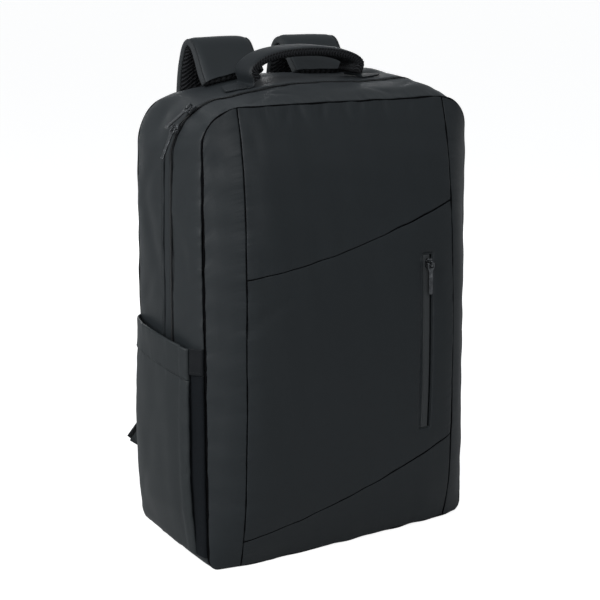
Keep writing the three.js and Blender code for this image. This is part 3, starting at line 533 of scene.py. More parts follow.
thread = threadShader("sewingThread", (0.010, 0.012, 0.013), (0.022, 0.024, 0.026))
# near-black thread for the zip tape's stitches, and for painted shade along each pocket hem's fold
darkThreadAndShade = threadShader("darkThreadAndShade", (0.002, 0.002, 0.003), (0.005, 0.006, 0.006))
metal = metalShader()
coilPlastic = plasticShader("coilPlastic", (0.004, 0.0045, 0.005), 0.42, 1800)
adjusterPlastic = plasticShader("adjusterPlastic", (0.007, 0.0075, 0.0085), 0.4, 2600)
print("materials made,", len(bpy.data.materials))


# makers
farFromSeams = 0.05


def finishPiece(bm, name, material, nodes, body="bag", attributes=None):
    mesh = bpy.data.meshes.new(name)
    bm.to_mesh(mesh)
    bm.free()
    for face in mesh.polygons:
        face.use_smooth = True
    piece = bpy.data.objects.new(name, mesh)
    bpy.context.scene.collection.objects.link(piece)
    mesh.materials.append(material)
    for label, values in (attributes or {}).items():
        layer = mesh.attributes.new(label, "FLOAT_VECTOR", "POINT")
        layer.data.foreach_set("vector", values.astype(np.float32).ravel())
    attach(piece, body)
    if nodes:
        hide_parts(*nodes)
    return piece


def crowded(count, length, edge=4.0, rows=5):  # where the rows of a grid lie: closer together by both edges
    if length < 3 * edge:
        return np.linspace(0, 1, count + 1)
    inner = np.linspace(edge / length, 1 - edge / length, count + 1 - 2 * rows)
    low = np.array([0, 0.1, 0.25, 0.45, 0.7]) * edge / length
    return np.concatenate([low, inner, 1 - low[::-1]])


clothEdge = {"turn": 0.98, "gatherReach": 9, "gatherFade": 1.5}


def clothPiece(name, place, size, material, slot, nodes, cell=3.2, wall=2.0, tucks=(1, 1, 1, 1), pull=0.45,
               pullReach=7, pucker=0.35, puckerLengths=(13, 19, 29), uneven=0.35,
               unevenLengths=(70, 95, 130), creases=(), seed=1, away=(0, 0, 220), held="stretched",
               extra=None, keep=None, flat=None):
    # place(u, v) gives the cloth's outer side; size is its width along u and its height along v;
    # tucks, pull and pucker say how the four edges turn in, are drawn in and gather
    us, vs = (crowded(max(12, round(length / cell) + 8), length) for length in size)
    bm = bmesh.new()
    bmesh.ops.create_grid(bm, x_segments=len(us) - 1, y_segments=len(vs) - 1, size=0.5)
    grid = np.array([v.co[:2] for v in bm.verts]) + 0.5
    u = us[np.rint(grid[:, 0] * (len(us) - 1)).astype(int)]
    v = vs[np.rint(grid[:, 1] * (len(vs) - 1)).astype(int)]
    points = place(u, v)
    for vertex, point in zip(bm.verts, points):
        vertex.co = point * mm
    bm.normal_update()
    outward = sum((f.calc_center_median() / mm - Vector(away)).normalized().dot(f.normal) for f in bm.faces)
    if outward < 0:
        bmesh.ops.reverse_faces(bm, faces=bm.faces)
        bm.normal_update()
    normals = np.array([vertex.normal for vertex in bm.verts])
    alongU, alongV = u * size[0], v * size[1]
    edges = [alongU, size[0] - alongU, alongV, size[1] - alongV]  # how far the four edges are
    depth = uneven * swell(points, seed, unevenLengths)
    for number, (edge, tuck) in enumerate(zip(edges, tucks)):
        if tuck <= 0:
            continue
        turned = np.clip(1 - edge / tuck, 0, 1)
        depth -= tuck * (1 - np.sqrt(1 - clothEdge["turn"] * turned**2))
        depth -= np.broadcast_to(pull, 4)[number] * np.exp(-edge / pullReach)
        run = alongV if number < 2 else alongU
        fade = np.exp(-((edge / clothEdge["gatherReach"]) ** clothEdge["gatherFade"]))
        depth += np.broadcast_to(pucker, 4)[number] * (ripple(run, seed + number, puckerLengths) * fade)
    placed = [(place(*np.array(at, float)[:, None])[0], *rest) for at, *rest in creases]
    depth -= creaseDepth(points, placed)
    if extra is not None:
        depth += extra(points, alongU, alongV)
    for vertex, point in zip(bm.verts, points + normals * depth[:, None]):
        vertex.co = point * mm
    near = np.minimum(edges[0], edges[1]), np.minimum(edges[2], edges[3])
    if keep is not None:
        bm.verts.index_update()
        middles = [[np.mean(share[[corner.index for corner in face.verts]]) for share in (u, v)]
                   for face in bm.faces]
        gone = [face for face, middle in zip(bm.faces, middles) if not keep(*middle)]
        bmesh.ops.delete(bm, geom=gone, context="FACES_ONLY")
        bm.verts.index_update()
    piece = finishPiece(bm, name, material, nodes, "bag", {
        "clothPlace": np.stack([alongU, alongV, 0 * u], 1) * mm,
        "seamAway": np.stack([near[0], near[1], 0 * u], 1) * mm})
    solid = piece.modifiers.new("wall", "SOLIDIFY")
    solid.thickness = wall * mm
    solid.offset = -1


def mergedCopy(node):  # a CAD node's own shape as a bmesh, welded and with its flat faces whole
    bm = bmesh.new()
    bm.from_mesh(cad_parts[node].data)
    bmesh.ops.remove_doubles(bm, verts=bm.verts, dist=1e-6)
    bmesh.ops.dissolve_limit(bm, angle_limit=math.radians(1), verts=bm.verts, edges=bm.edges)
    return bm


def bevelledCopy(node, width, material, body="bag", segments=3, angle=28):  # its sharp edges rounded
    bm = mergedCopy(node)
    sharp = [e for e in bm.edges if len(e.link_faces) == 2 and e.calc_face_angle(0) > math.radians(angle)]
    bmesh.ops.bevel(bm, geom=sharp, offset=width * mm, affect="EDGES", segments=segments, profile=0.5,
                    material=-1,
                    clamp_overlap=True)
    bmesh.ops.triangulate(bm, faces=[f for f in bm.faces if len(f.verts) > 4])
    points = np.array([v.co for v in bm.verts])
    piece = finishPiece(bm, node + "_shaped", material, [node], body,
                        {"clothPlace": points[:, [0, 2, 1]],
                         "seamAway": np.full((len(points), 3), farFromSeams)})
    piece.modifiers.new("even", "WEIGHTED_NORMAL")


stitchLook = {"length": 2.3, "pitch": 3.1, "radius": 0.24, "flatness": 0.8, "ahead": 0.6}
copiesAtOnce = 40


def addCopies(bm, makeOne, places):  # repeated small shapes, made some at a time so that it stays quick
    for first in range(0, len(places), copiesAtOnce):
        some = bmesh.new()
        for place in places[first : first + copiesAtOnce]:
            makeOne(some, place)
        part = bpy.data.meshes.new("part")
        some.to_mesh(part)
        some.free()
        bm.from_mesh(part)
        bpy.data.meshes.remove(part)


def stitchRow(bm, points, normals, look=stitchLook):  # one row of stitches along a line on the cloth
    run = np.concatenate([[0], np.cumsum(np.linalg.norm(np.diff(points, axis=0), axis=1))])
    places = []
    for i in range(int(run[-1] / look["pitch"])):
        at = (i + 0.5) * look["pitch"]
        centre = np.array([np.interp(at, run, points[:, k]) for k in range(3)])
        ahead = np.array([np.interp(at + look["ahead"], run, points[:, k]) for k in range(3)])
        out = np.array([np.interp(at, run, normals[:, k]) for k in range(3)])
        along, up = Vector(ahead - centre).normalized(), Vector(out).normalized()
        side = up.cross(along).normalized()
        turn = Matrix((side, along, side.cross(along))).transposed().to_4x4()
        size = Matrix.Diagonal((look["radius"] * mm, look["length"] / 2 * mm,
                                look["radius"] * look["flatness"] * mm, 1))
        places.append(Matrix.Translation(Vector(centre) * mm) @ turn @ size)
    addCopies(bm, lambda some, place: bmesh.ops.create_uvsphere(some, u_segments=6, v_segments=4, radius=1,
                                                                matrix=place), places)


def lineOn(place, us, vs, away=(0, 0, 220), lift=0.05):  # points on a cloth and the way out of it
    us, vs = np.broadcast_arrays(np.asarray(us, float), np.asarray(vs, float))
    small = 0.002
    centre = place(us, vs)
    ahead = place(np.clip(us + small, 0, 1), vs) - place(np.clip(us - small, 0, 1), vs)
    above = place(us, np.clip(vs + small, 0, 1)) - place(us, np.clip(vs - small, 0, 1))
    out = np.cross(ahead, above)
    out /= np.maximum(np.linalg.norm(out, axis=1, keepdims=True), 1e-9)
    facing = np.sum(out * (centre - np.array(away, float)), axis=1)
    out *= np.where(facing < 0, -1, 1)[:, None]
    return centre + lift * out, out


stitches, darkStitchesAndShade = bmesh.new(), bmesh.new()  # every topstitch of the bag gathers in these two

# front panels
front = {
    "seamX": 121.5, "upperLow": 283, "upperRise": 55.5, "lowerLow": 27, "lowerRise": 68, "sag": 8,
         "half": 0.3,
    "zipX": 85.5, "zipTop": 288.5, "zipLength": 181, "zipWidth": 13.6, "zipLean": 3.5,
}


def slantSeam(x, low, rise):
    share = (x + front["seamX"]) / (2 * front["seamX"])
    return low + rise * share - front["sag"] * 4 * share * (1 - share)


def upperSeam(x):
    return slantSeam(x, front["upperLow"], front["upperRise"])


def lowerSeam(x):
    return slantSeam(x, front["lowerLow"], front["lowerRise"])


def frontTop(x):
    return outlineTop(x, np.full_like(x, -bag["halfDepth"]))


def frontBase(x):
    return outlineBase(x, np.full_like(x, -bag["halfDepth"]))


def frontSheet(left, right, low, high):
    def place(u, v):
        x = left + (right - left) * u
        return soften(x, -bag["halfDepth"], low(x) + (high(x) - low(x)) * v)
    return place


innerX = front["seamX"] - front["half"]
topCreases = [  # short gathers under the top seam: where on the cloth, which way, length, width and depth
    ((0.10, 0.95), (0.25, 0, -1), 12, 3.4, 1.0), ((0.19, 0.93), (-0.3, 0, -1), 9, 2.8, 0.8),
    ((0.26, 0.95), (0.5, 0, -1), 12, 3.4, 0.8), ((0.37, 0.94), (-0.2, 0, -1), 10, 3.0, 0.7),
    ((0.49, 0.95), (0.4, 0, -1), 12, 3.4, 0.9), ((0.58, 0.96), (-0.4, 0, -1), 8, 2.6, 0.6),
    ((0.71, 0.94), (0.2, 0, -1), 12, 3.2, 0.8), ((0.84, 0.95), (-0.25, 0, -1), 10, 3.0, 0.8),
    ((0.05, 0.80), (0.1, 0, -1), 30, 6.0, 0.7), ((0.03, 0.45), (0.05, 0, -1), 34, 7.0, 0.5),
]
clothPiece("front_cloth_upper", frontSheet(-innerX, innerX, lambda x: upperSeam(x) + front["half"], frontTop),
           (2 * innerX, 128), cloths["shellCoat"], "shell_cloth", ["front_panel_upper"],
           tucks=(0.7, 0.7, 0.7, 1.5),
           creases=topCreases, seed=3, pucker=(0.2, 0.2, 0.2, 0.4), puckerLengths=(15, 26, 41), uneven=0.6,
           cell=2.8)
clothPiece("front_cloth_lower", frontSheet(-innerX, innerX, frontBase,
                                           lambda x: lowerSeam(x) - front["half"]),
           (2 * innerX, 66), cloths["shellCoat"], "shell_cloth", ["front_panel_lower"],
           tucks=(0.7, 0.7, 1.2, 0.7),
           seed=4, uneven=0.4, pucker=0.2)

zipLow = front["zipTop"] - front["zipLength"]
windowCalm = {"from": 3, "to": 60}  # how far beside the window the cloth still follows it
windowFold = {"deep": 0.5, "reach": 2.2, "slack": 0.25, "slackReach": 9}


def zipShift(z):
    return front["zipLean"] * (z - zipLow - front["zipLength"] / 2) / front["zipLength"]


def middleLow(x):
    return lowerSeam(x) + front["half"]


def middleHigh(x):
    return upperSeam(x) - front["half"]


def windowEdges():  # the front zip's window, in shares of the middle cloth
    mid, half = front["zipX"], front["zipWidth"] / 2
    tall = middleHigh(mid) - middleLow(mid)
    return ((mid - half + innerX) / (2 * innerX), (mid + half + innerX) / (2 * innerX),
            (zipLow - middleLow(mid)) / tall, (front["zipTop"] - middleLow(mid)) / tall)


windowShares = windowEdges()


def middlePlace(u, v):  # two columns and two rows of this grid follow the window of the front zip
    _, _, vLow, vHigh = windowShares
    x = -innerX + 2 * innerX * u
    low, high = middleLow(x), middleHigh(x)
    reach = front["zipWidth"] / 2
    near = 1 - easeBetween(np.abs(x - front["zipX"]), reach + windowCalm["from"], reach + windowCalm["to"])
    lineLow = low + (high - low) * vLow
    lineHigh = low + (high - low) * vHigh
    lineLow = lineLow + near * (zipLow - lineLow)
    lineHigh = lineHigh + near * (front["zipTop"] - lineHigh)
    below = low + (lineLow - low) * v / vLow
    beside = lineLow + (lineHigh - lineLow) * (v - vLow) / (vHigh - vLow)
    above = lineHigh + (high - lineHigh) * (v - vHigh) / (1 - vHigh)
    z = np.where(v < vLow, below, np.where(v < vHigh, beside, above))
    lean = near * zipShift(np.clip(z, zipLow, front["zipTop"]))
    return soften(x + lean, -bag["halfDepth"], z)


def windowGrid(name, place, size, cell=3.2, **options):  # a cloth with grid lines at the window's four edges
    spots = []
    for length, marks in zip(size, (windowShares[:2], windowShares[2:])):
        line = crowded(max(12, round(length / cell) + 8), length)
        spots.append([line[int(np.argmin(np.abs(line - mark)))] for mark in marks])
    (a, b), (c, d) = spots

    def warped(u, v):
        uLeft, uRight, vLow, vHigh = windowShares
        return place(np.interp(u, [0, a, b, 1], [0, uLeft, uRight, 1]),
                     np.interp(v, [0, c, d, 1], [0, vLow, vHigh, 1]))
    clothPiece(name, warped, size, keep=lambda u, v: not (a < u < b and c < v < d), **options)


def windowRoll(points, alongU, alongV):  # the panel's edge turns in round the zip's window
    half = front["zipWidth"] / 2
    x = points[:, 0] - front["zipX"] - zipShift(points[:, 2])
    dx = np.maximum(np.abs(x) - half, 0)
    dz = np.maximum(np.maximum(zipLow - points[:, 2], points[:, 2] - front["zipTop"]), 0)
    gapAway = np.hypot(dx, dz)
    fold = windowFold["deep"] * np.exp(-gapAway / windowFold["reach"])
    slack = windowFold["slack"] * np.exp(-gapAway / windowFold["slackReach"])
    return -fold - slack * (1 + ripple(points[:, 2], 8, (17, 26)))


windowGrid("front_cloth_middle", middlePlace, (2 * innerX, 256), material=cloths["shellCoat"],
           slot="shell_cloth",
           nodes=["front_panel_middle"], tucks=(0.7, 0.7, 0.7, 0.7), seed=5, uneven=0.6, pucker=0.2,
           extra=windowRoll,
           creases=[((0.09, 0.86), (0.9, 0, 0.5), 26, 7, 0.8), ((0.66, 0.9), (0.95, 0, 0.3), 30, 9, 0.5),
                    ((0.3, 0.3), (0.5, 0, -1), 60, 16, 0.6)])

stripInner, stripOuter = front["seamX"] + front["half"], bag["halfWidth"]
stripRows = {"at": [0, 0.2, 0.4, 0.6, 0.8, 1], "x": [0, 0.3, 0.56, 0.77, 0.92, 1]}


def stripPlace(side):
    def place(u, v):
        x = side * (stripInner + (stripOuter - stripInner) * readCurve(stripRows, "x", u))
        low, high = frontBase(x), frontTop(x)
        return soften(x, -bag["halfDepth"], low + (high - low) * v)
    return place


stripCreases = {
    -1: [((0.5, 0.9), (0.3, 0, -1), 14, 5, 1.0), ((0.72, 0.78), (0.1, 0, -1), 30, 5, 0.6),
         ((0.42, 0.55), (0.1, 0, -1), 44, 6, 0.5), ((0.6, 0.3), (-0.1, 0, -1), 48, 6, 0.5)],
    1: [((0.6, 0.75), (0.1, 0, -1), 30, 5, 0.6), ((0.5, 0.35), (-0.1, 0, -1), 40, 6, 0.5)],
}
for side, name in ((-1, "left"), (1, "right")):
    clothPiece(f"front_cloth_{name}", stripPlace(side), (36, 438), cloths["shellCoat"], "shell_cloth",
               [f"front_strip_{name}"], tucks=(0.7, 1.4, 0.8, 1.4), seed=7 + side, creases=stripCreases[side],
               cell=2.4, pucker=(0.2, 0.3, 0.3, 0.3), uneven=0.3, unevenLengths=(80, 120, 170))
print("front panels made")

# gussets and the main zip
gusset = {"front": -64.9, "back": 64.9, "between": 0.6, "frontWidth": 48.3, "rearWidth": 68,
          "baseWidth": 129.8}
loopEnds = {"top": 34, "base": 28}


def bandPlace(loop, last, low, high, inset=0.0):
    share, length = evenLoop(loop, last, (low(0.5) + high(0.5)) / 2)

    def place(u, v):
        i = share(u)
        a, b = low(i / last), high(i / last)
        y = a + (b - a) * v
        x, z = loop(i, y, inset)
        return soften(x, y, z)
    return place, length


def tapeBack(s):
    wide = easeBetween(np.abs(2 * s - 1), 0.42, 0.72)
    return bag["zipFront"] + bag["zipTopWidth"] + (bag["zipSideWidth"] - bag["zipTopWidth"]) * wide


def steady(value):
    return lambda s: value + 0 * s


sideCreases = [
    ((0.292, 0.06), (0.1, 1, 0.25), 4.5, 2.4, 1.6), ((0.331, 0.06), (0.3, 1, 0.2), 4.0, 2.2, 1.4),
    ((0.668, 0.06), (-0.3, 1, 0.2), 4.0, 2.0, 1.2), ((0.20, 0.55), (0, 0.5, -1), 30, 8, 0.8),
    ((0.13, 0.5), (0, -0.4, -1), 34, 9, 0.8), ((0.06, 0.3), (0, 0.6, -1), 22, 6, 0.7),
    ((0.38, 0.3), (1, 0.6, 0), 14, 4, 0.9), ((0.43, 0.45), (1, -0.9, 0), 16, 4, 0.8),
    ((0.47, 0.25), (1, 0.8, 0), 12, 3, 0.7), ((0.52, 0.5), (1, 0.7, 0), 18, 5, 0.8),
    ((0.57, 0.3), (1, -0.8, 0), 15, 4, 0.8), ((0.62, 0.55), (1, 0.6, 0), 16, 5, 0.9),
    ((0.65, 0.3), (0.9, 0.5, -0.2), 12, 4, 0.9), ((0.8, 0.5), (0, 0.5, -1), 30, 8, 0.8),
]
rearCreases = [
    ((0.22, 0.5), (0, 0.8, -1), 34, 9, 1.2), ((0.15, 0.4), (0, -0.5, -1), 40, 10, 1.1),
    ((0.08, 0.55), (0, 0.8, -1), 28, 8, 1.0), ((0.3, 0.5), (0.3, 0.6, 1), 24, 8, 0.8),
    ((0.45, 0.6), (1, 0.3, 0), 26, 7, 0.6), ((0.6, 0.5), (1, -0.4, 0), 24, 7, 0.8),
    ((0.8, 0.4), (0, 0.5, -1), 36, 9, 1.0),
]
frontTopPlace, topLength = bandPlace(overTop, loopEnds["top"], steady(gusset["front"]),
                                     steady(bag["zipFront"] - gusset["between"]))
clothPiece("gusset_cloth_front", frontTopPlace, (topLength, gusset["frontWidth"]), cloths["sideCoat"],
           "side_cloth",
           ["front_top_gusset"], tucks=(0.5, 0.5, 1.2, 1.0), creases=sideCreases, seed=11, cell=2.5,
           pucker=(0.2, 0.2, 0.5, 0.25), pull=(0.2, 0.2, 1.0, 0.2), pullReach=5, puckerLengths=(12, 17, 27),
           uneven=0.6,
           unevenLengths=(50, 75, 110))
rearTopPlace, rearLength = bandPlace(overTop, loopEnds["top"], lambda s: tapeBack(s) + gusset["between"],
                                     steady(gusset["back"]))
clothPiece("gusset_cloth_rear", rearTopPlace, (rearLength, gusset["rearWidth"]), cloths["sideCoat"],
           "side_cloth",
           ["rear_top_gusset"], tucks=(0.5, 0.5, 1.1, 0.9), creases=rearCreases, seed=12, cell=3.0,
           pucker=(0.2, 0.2, 0.3, 0.4), pull=(0.2, 0.2, 0.3, 0.6), uneven=0.8, unevenLengths=(60, 90, 130))
basePlace, baseLength = bandPlace(underBase, loopEnds["base"], steady(gusset["front"]),
                                  steady(gusset["back"]))
clothPiece("gusset_cloth_base", basePlace, (baseLength, gusset["baseWidth"]), cloths["sideCoat"],
           "side_cloth", ["base_gusset"],
           tucks=(0.5, 0.5, 1.2, 0.9), seed=13, pucker=0.3, uneven=0.0, cell=3.4, pull=(0.2, 0.2, 0.9, 0.6),
           pullReach=5)

tape = {"inset": 0.9, "wall": 1.2, "width": 14}
tapePlace, tapeLength = bandPlace(overTop, loopEnds["top"], steady(bag["zipFront"]), tapeBack, tape["inset"])
clothPiece("main_zip_cloth", tapePlace, (tapeLength, tape["width"]), cloths["zipTapeWeave"], "zip_tape",
           ["main_zip_tape"],
           tucks=(0, 0, 0, 0), wall=tape["wall"], uneven=0, cell=2.2, seed=14)

coilLook = {"pitch": 1.3, "radius": 0.36, "reach": 0.95, "mesh": 0.2, "rise": 0.1, "sides": 6}


def coilPiece(name, centres, outs, sides, nodes, look=coilLook):  # two rows of turns that mesh in the middle
    run = np.concatenate([[0], np.cumsum(np.linalg.norm(np.diff(centres, axis=0), axis=1))])
    places = []
    for i in range(int(run[-1] / look["pitch"] * 2)):
        at = i * look["pitch"] / 2
        centre, out, side = (np.array([np.interp(at, run, line[:, k]) for k in range(3)])
                             for line in (centres, outs, sides))
        half = -1 if i % 2 else 1
        side, out = Vector(side).normalized(), Vector(out).normalized()
        middle = Vector(centre) + side * half * (look["reach"] / 2 - look["mesh"]) + out * look["rise"]
        places.append(Matrix.Translation(middle * mm) @ Matrix((out, side.cross(out),
                                                                side)).transposed().to_4x4())
    bm = bmesh.new()
    addCopies(bm, lambda some, place: bmesh.ops.create_cone(
        some, cap_ends=True, segments=look["sides"], radius1=look["radius"] * mm, radius2=look["radius"] * mm,
        depth=(look["reach"] + 2 * look["mesh"]) * mm, matrix=place), places)
    finishPiece(bm, name, coilPlastic, nodes)


def loopFrame(y, inset):  # points along the loop over the top, and the way out of it at each
    share, _ = evenLoop(overTop, loopEnds["top"], y)
    i = share(np.linspace(0.001, 0.999, 600))
    rings = []
    for extra in (0.0, 1.0):
        x, z = overTop(i, np.full_like(i, y), inset - extra)
        rings.append(soften(x, np.full_like(i, y), z))
    return rings[0], rings[1] - rings[0]


coilLine, coilOut = loopFrame(bag["zipY"], 0.1)
coilPiece("main_zip_teeth", coilLine, coilOut, np.tile([0.0, 1.0, 0.0], (len(coilLine), 1)),
          ["main_zip_coil"])

lines = np.linspace(0.004, 0.996, 500)
tapeRows = (0.06, 0.26, 0.40)  # the small dark stitches across the zip's tape
ladder = stitchLook | {"pitch": 1.6, "length": 1.0, "radius": 0.22}
for place, v in ((frontTopPlace, 1 - 2.6 / gusset["frontWidth"]), (rearTopPlace, 2.4 / gusset["rearWidth"])):
    stitchRow(stitches, *lineOn(place, lines, v, lift=-0.25))
for v in tapeRows:
    stitchRow(darkStitchesAndShade, *lineOn(tapePlace, lines, v), ladder)
print("gussets and main zip made")

# near-black tubes at the bottom of every seam, painted shade for the seam grooves
seamLook = {"gusset": 0.8, "side": 0.6, "panel": 0.42, "zip": 0.5, "sink": 0.9, "uneven": 0.22, "y": 66.3,
            "steps": 220}
zipSeams = {"front": 0.03, "rear": 0.9}  # across the zip's tape
seamPaths = []


def seamLine(name, points, side, kind):
    length = np.linalg.norm(np.diff(points, axis=0), axis=1).sum()

    def ring(angle, v):  # a little thicker and thinner along its length
        waves = np.sin(v * length / 5.3) + np.sin(v * length / 9.1 + 1)
        radius = seamLook[kind] * (1 + seamLook["uneven"] * waves)
        return np.cos(angle) * radius, np.sin(angle) * radius
    seamPaths.append((name, points, side, ring))


for name, y in (("front", -seamLook["y"]), ("back", seamLook["y"])):
    for part, loop, last in (("top", overTop, loopEnds["top"]), ("base", underBase, loopEnds["base"])):
        share, _ = evenLoop(loop, last, y)
        deep = np.full(seamLook["steps"], y)
        x, z = loop(share(np.linspace(0, 1, seamLook["steps"])), deep, seamLook["sink"])
        seamLine(f"seam_lining_{name}_{part}", soften(x, deep, z), (0, 1, 0), "gusset")
behind = -bag["halfDepth"] + seamLook["sink"]
for side, name in ((-1, "left"), (1, "right")):
    x = np.full(160, side * front["seamX"])
    height = np.linspace(float(frontBase(x)[0]) + 1, float(frontTop(x)[0]) - 1, 160)
    seamLine(f"seam_lining_{name}", soften(x, behind, height), (1, 0, 0), "side")
x = np.linspace(-front["seamX"], front["seamX"], 120)
for name, height in (("upper", upperSeam), ("lower", lowerSeam)):
    seamLine(f"seam_lining_{name}", soften(x, behind, height(x)), (0, 0, 1), "panel")
for name, v in zipSeams.items():
    u = np.linspace(0.004, 0.996, seamLook["steps"])
    seamLine(f"zip_lining_{name}", tapePlace(u, np.full_like(u, v)), (0, 1, 0), "zip")

# front zip
zipMiddle = front["zipTop"] - front["zipLength"] / 2


def onFront(across, up, depth):
    return soften(front["zipX"] + across + front["zipLean"] * up / front["zipLength"],
                  depth - bag["halfDepth"],
                  zipMiddle + up)


frontZip = {"lipLeft": -5.1, "lipRight": 3.3, "half": 88.8, "recess": 0.45, "coilX": 0.6, "coilDepth": 2.4,
            "tapeReach": 9.8, "tapeHalf": 93, "tapeDepth": 3.9}


def zipStrip(left, right, half, depth, bow=0.0):
    def place(u, v):
        return onFront(left + (right - left) * u, -half + 2 * half * v, depth - bow * 4 * u * (1 - u))
    return place


lipPlace = zipStrip(frontZip["lipLeft"], frontZip["lipRight"], frontZip["half"], frontZip["recess"], 0.5)
clothPiece("front_zip_lip_cloth", lipPlace, (8.4, 177.6), cloths["lipTape"], "shell_cloth", ["front_zip_lip"],
           wall=0.9, cell=1.2, tucks=(0.2, 0.7, 0.3, 0.3), pull=0.1, pucker=0.1, puckerLengths=(21, 34),
           uneven=0.05,
           seed=21, flat=(10.4, 180))
tapeStrip = zipStrip(-frontZip["tapeReach"], frontZip["tapeReach"], frontZip["tapeHalf"],
                     frontZip["tapeDepth"])
clothPiece("front_zip_backing", tapeStrip, (19.6, 186), cloths["zipTapeWeave"], "zip_tape",
           ["front_zip_tape"], wall=1.1,
           cell=2.6, tucks=(0, 0, 0, 0), uneven=0, seed=22)
frontUps = np.linspace(-frontZip["half"] + 1, frontZip["half"] - 1, 160)
frontCoil = onFront(frontZip["coilX"], frontUps, frontZip["coilDepth"] + 0.6)
coilPiece("front_zip_teeth", frontCoil, np.tile([0.0, -1.0, 0.0], (len(frontUps), 1)),
          np.tile([1.0, 0.0, 0.0], (len(frontUps), 1)), ["front_zip_coil"], coilLook | {"rise": 0.0})
bevelledCopy("front_zip_frame", 0.35, cloths["zipTapeWeave"], segments=2)
lipStitch = stitchLook | {"pitch": 2.4, "length": 1.7, "radius": 0.16}
stitchRow(stitches, *lineOn(lipPlace, 0.16, np.linspace(0.01, 0.99, 200)), lipStitch)
for name, body in (("front_zip", "front_pull"), ("main_zip_upper", "upper_pull"),
                   ("main_zip_lower", "lower_pull")):
    bevelledCopy(f"{name}_slider", 0.3, metal)
    bevelledCopy(f"{name}_pull", 0.45, metal, body)
print("front zip and pulls made")

# side pockets
pocket = {"foot": 12, "top": 227, "slant": 11, "hem": 31, "bulge": 8.5, "mouth": 8, "wall": 1.6, "clear": 1,
          "backY": 64.6, "frontY": -53.5, "webTop": 217, "webHem": 26, "webSlack": 3.5, "webFold": 10,
          "webWall": 1.2,
          "webHemWall": 1.6, "hemRise": 3.2, "hemProud": 0.7, "seamY": -66.4, "width": 124, "height": 180,
          "webWidth": 22, "webHemWidth": 12}
pocketRows = {"at": [0, 0.06, 0.13, 0.22, 0.36, 0.55, 0.72, 0.83, 1],
              "out": [0.08, 0.22, 0.5, 0.82, 0.96, 1, 0.9, 0.76, 0.3]}
pocketColumns = {"at": [0, 0.02, 0.05, 0.12, 0.3, 0.5, 0.72, 0.9, 1],
                 "out": [0.02, 0.35, 0.62, 0.8, 1, 1.05, 1, 0.72, 0.42],
                 "mouth": [0.02, 0.1, 0.24, 0.5, 0.9, 1, 0.9, 0.6, 0.4]}


def pocketEdge(y):
    return pocket["top"] - pocket["slant"] * (pocket["backY"] - y) / (pocket["backY"] - pocket["frontY"])


def hemLine(y):  # the mouth's edge rises a little between its ends
    share = (pocket["backY"] - y) / (pocket["backY"] - pocket["frontY"])
    return pocketEdge(y) + pocket["hemRise"] * np.sin(np.pi * np.clip(share, 0, 1))


def pocketStand(y, z):
    column = (pocket["backY"] - y) / (pocket["backY"] - pocket["frontY"])
    row = (z - pocket["foot"]) / (pocketEdge(y) - pocket["foot"])
    bulge = pocket["bulge"] * readCurve(pocketRows, "out", row) * readCurve(pocketColumns, "out", column)
    mouth = pocket["mouth"] * readCurve(pocketColumns, "mouth", column)
    overWeb = (pocket["webWall"] + 0.3) * easeBetween(pocket["frontY"] + pocket["webFold"] + 4 - y, 0, 4)
    return pocket["clear"] + overWeb + bulge + (mouth - bulge) * easeBetween(row, 0.8, 1)


def sideCloth(side, yBack, yFront, low, high, stand):
    def place(u, v):
        y = yBack + (yFront - yBack) * u
        z = low(y) + (high(y) - low(y)) * v
        point = soften(outlineSide(y, z), y, z)
        point[..., 0] = -side * (point[..., 0] - stand(y, z))
        return point
    return place


pocketCreases = {
    -1: [((0.4, 0.55), (0, 0.25, -1), 50, 12, 0.9), ((0.65, 0.4), (0, -0.2, -1), 46, 12, 0.8),
         ((0.2, 0.25), (0, 0.8, -1), 22, 8, 0.9), ((0.8, 0.85), (0, 0.7, -0.6), 16, 7, 0.6)],
    1: [((0.45, 0.5), (0, -0.2, -1), 50, 12, 0.9), ((0.7, 0.35), (0, 0.3, -1), 40, 11, 0.8)],
}
def pocketOuter(y, z):
    return pocketStand(y, z) + pocket["wall"]


def pocketFoot(y):
    return 0 * y + pocket["foot"]


def webFoot(y):
    return 0 * y + pocket["webTop"] - pocket["webHem"]


def slackness(y):
    return pocket["webSlack"] * easeBetween(y, -64.6, pocket["frontY"])


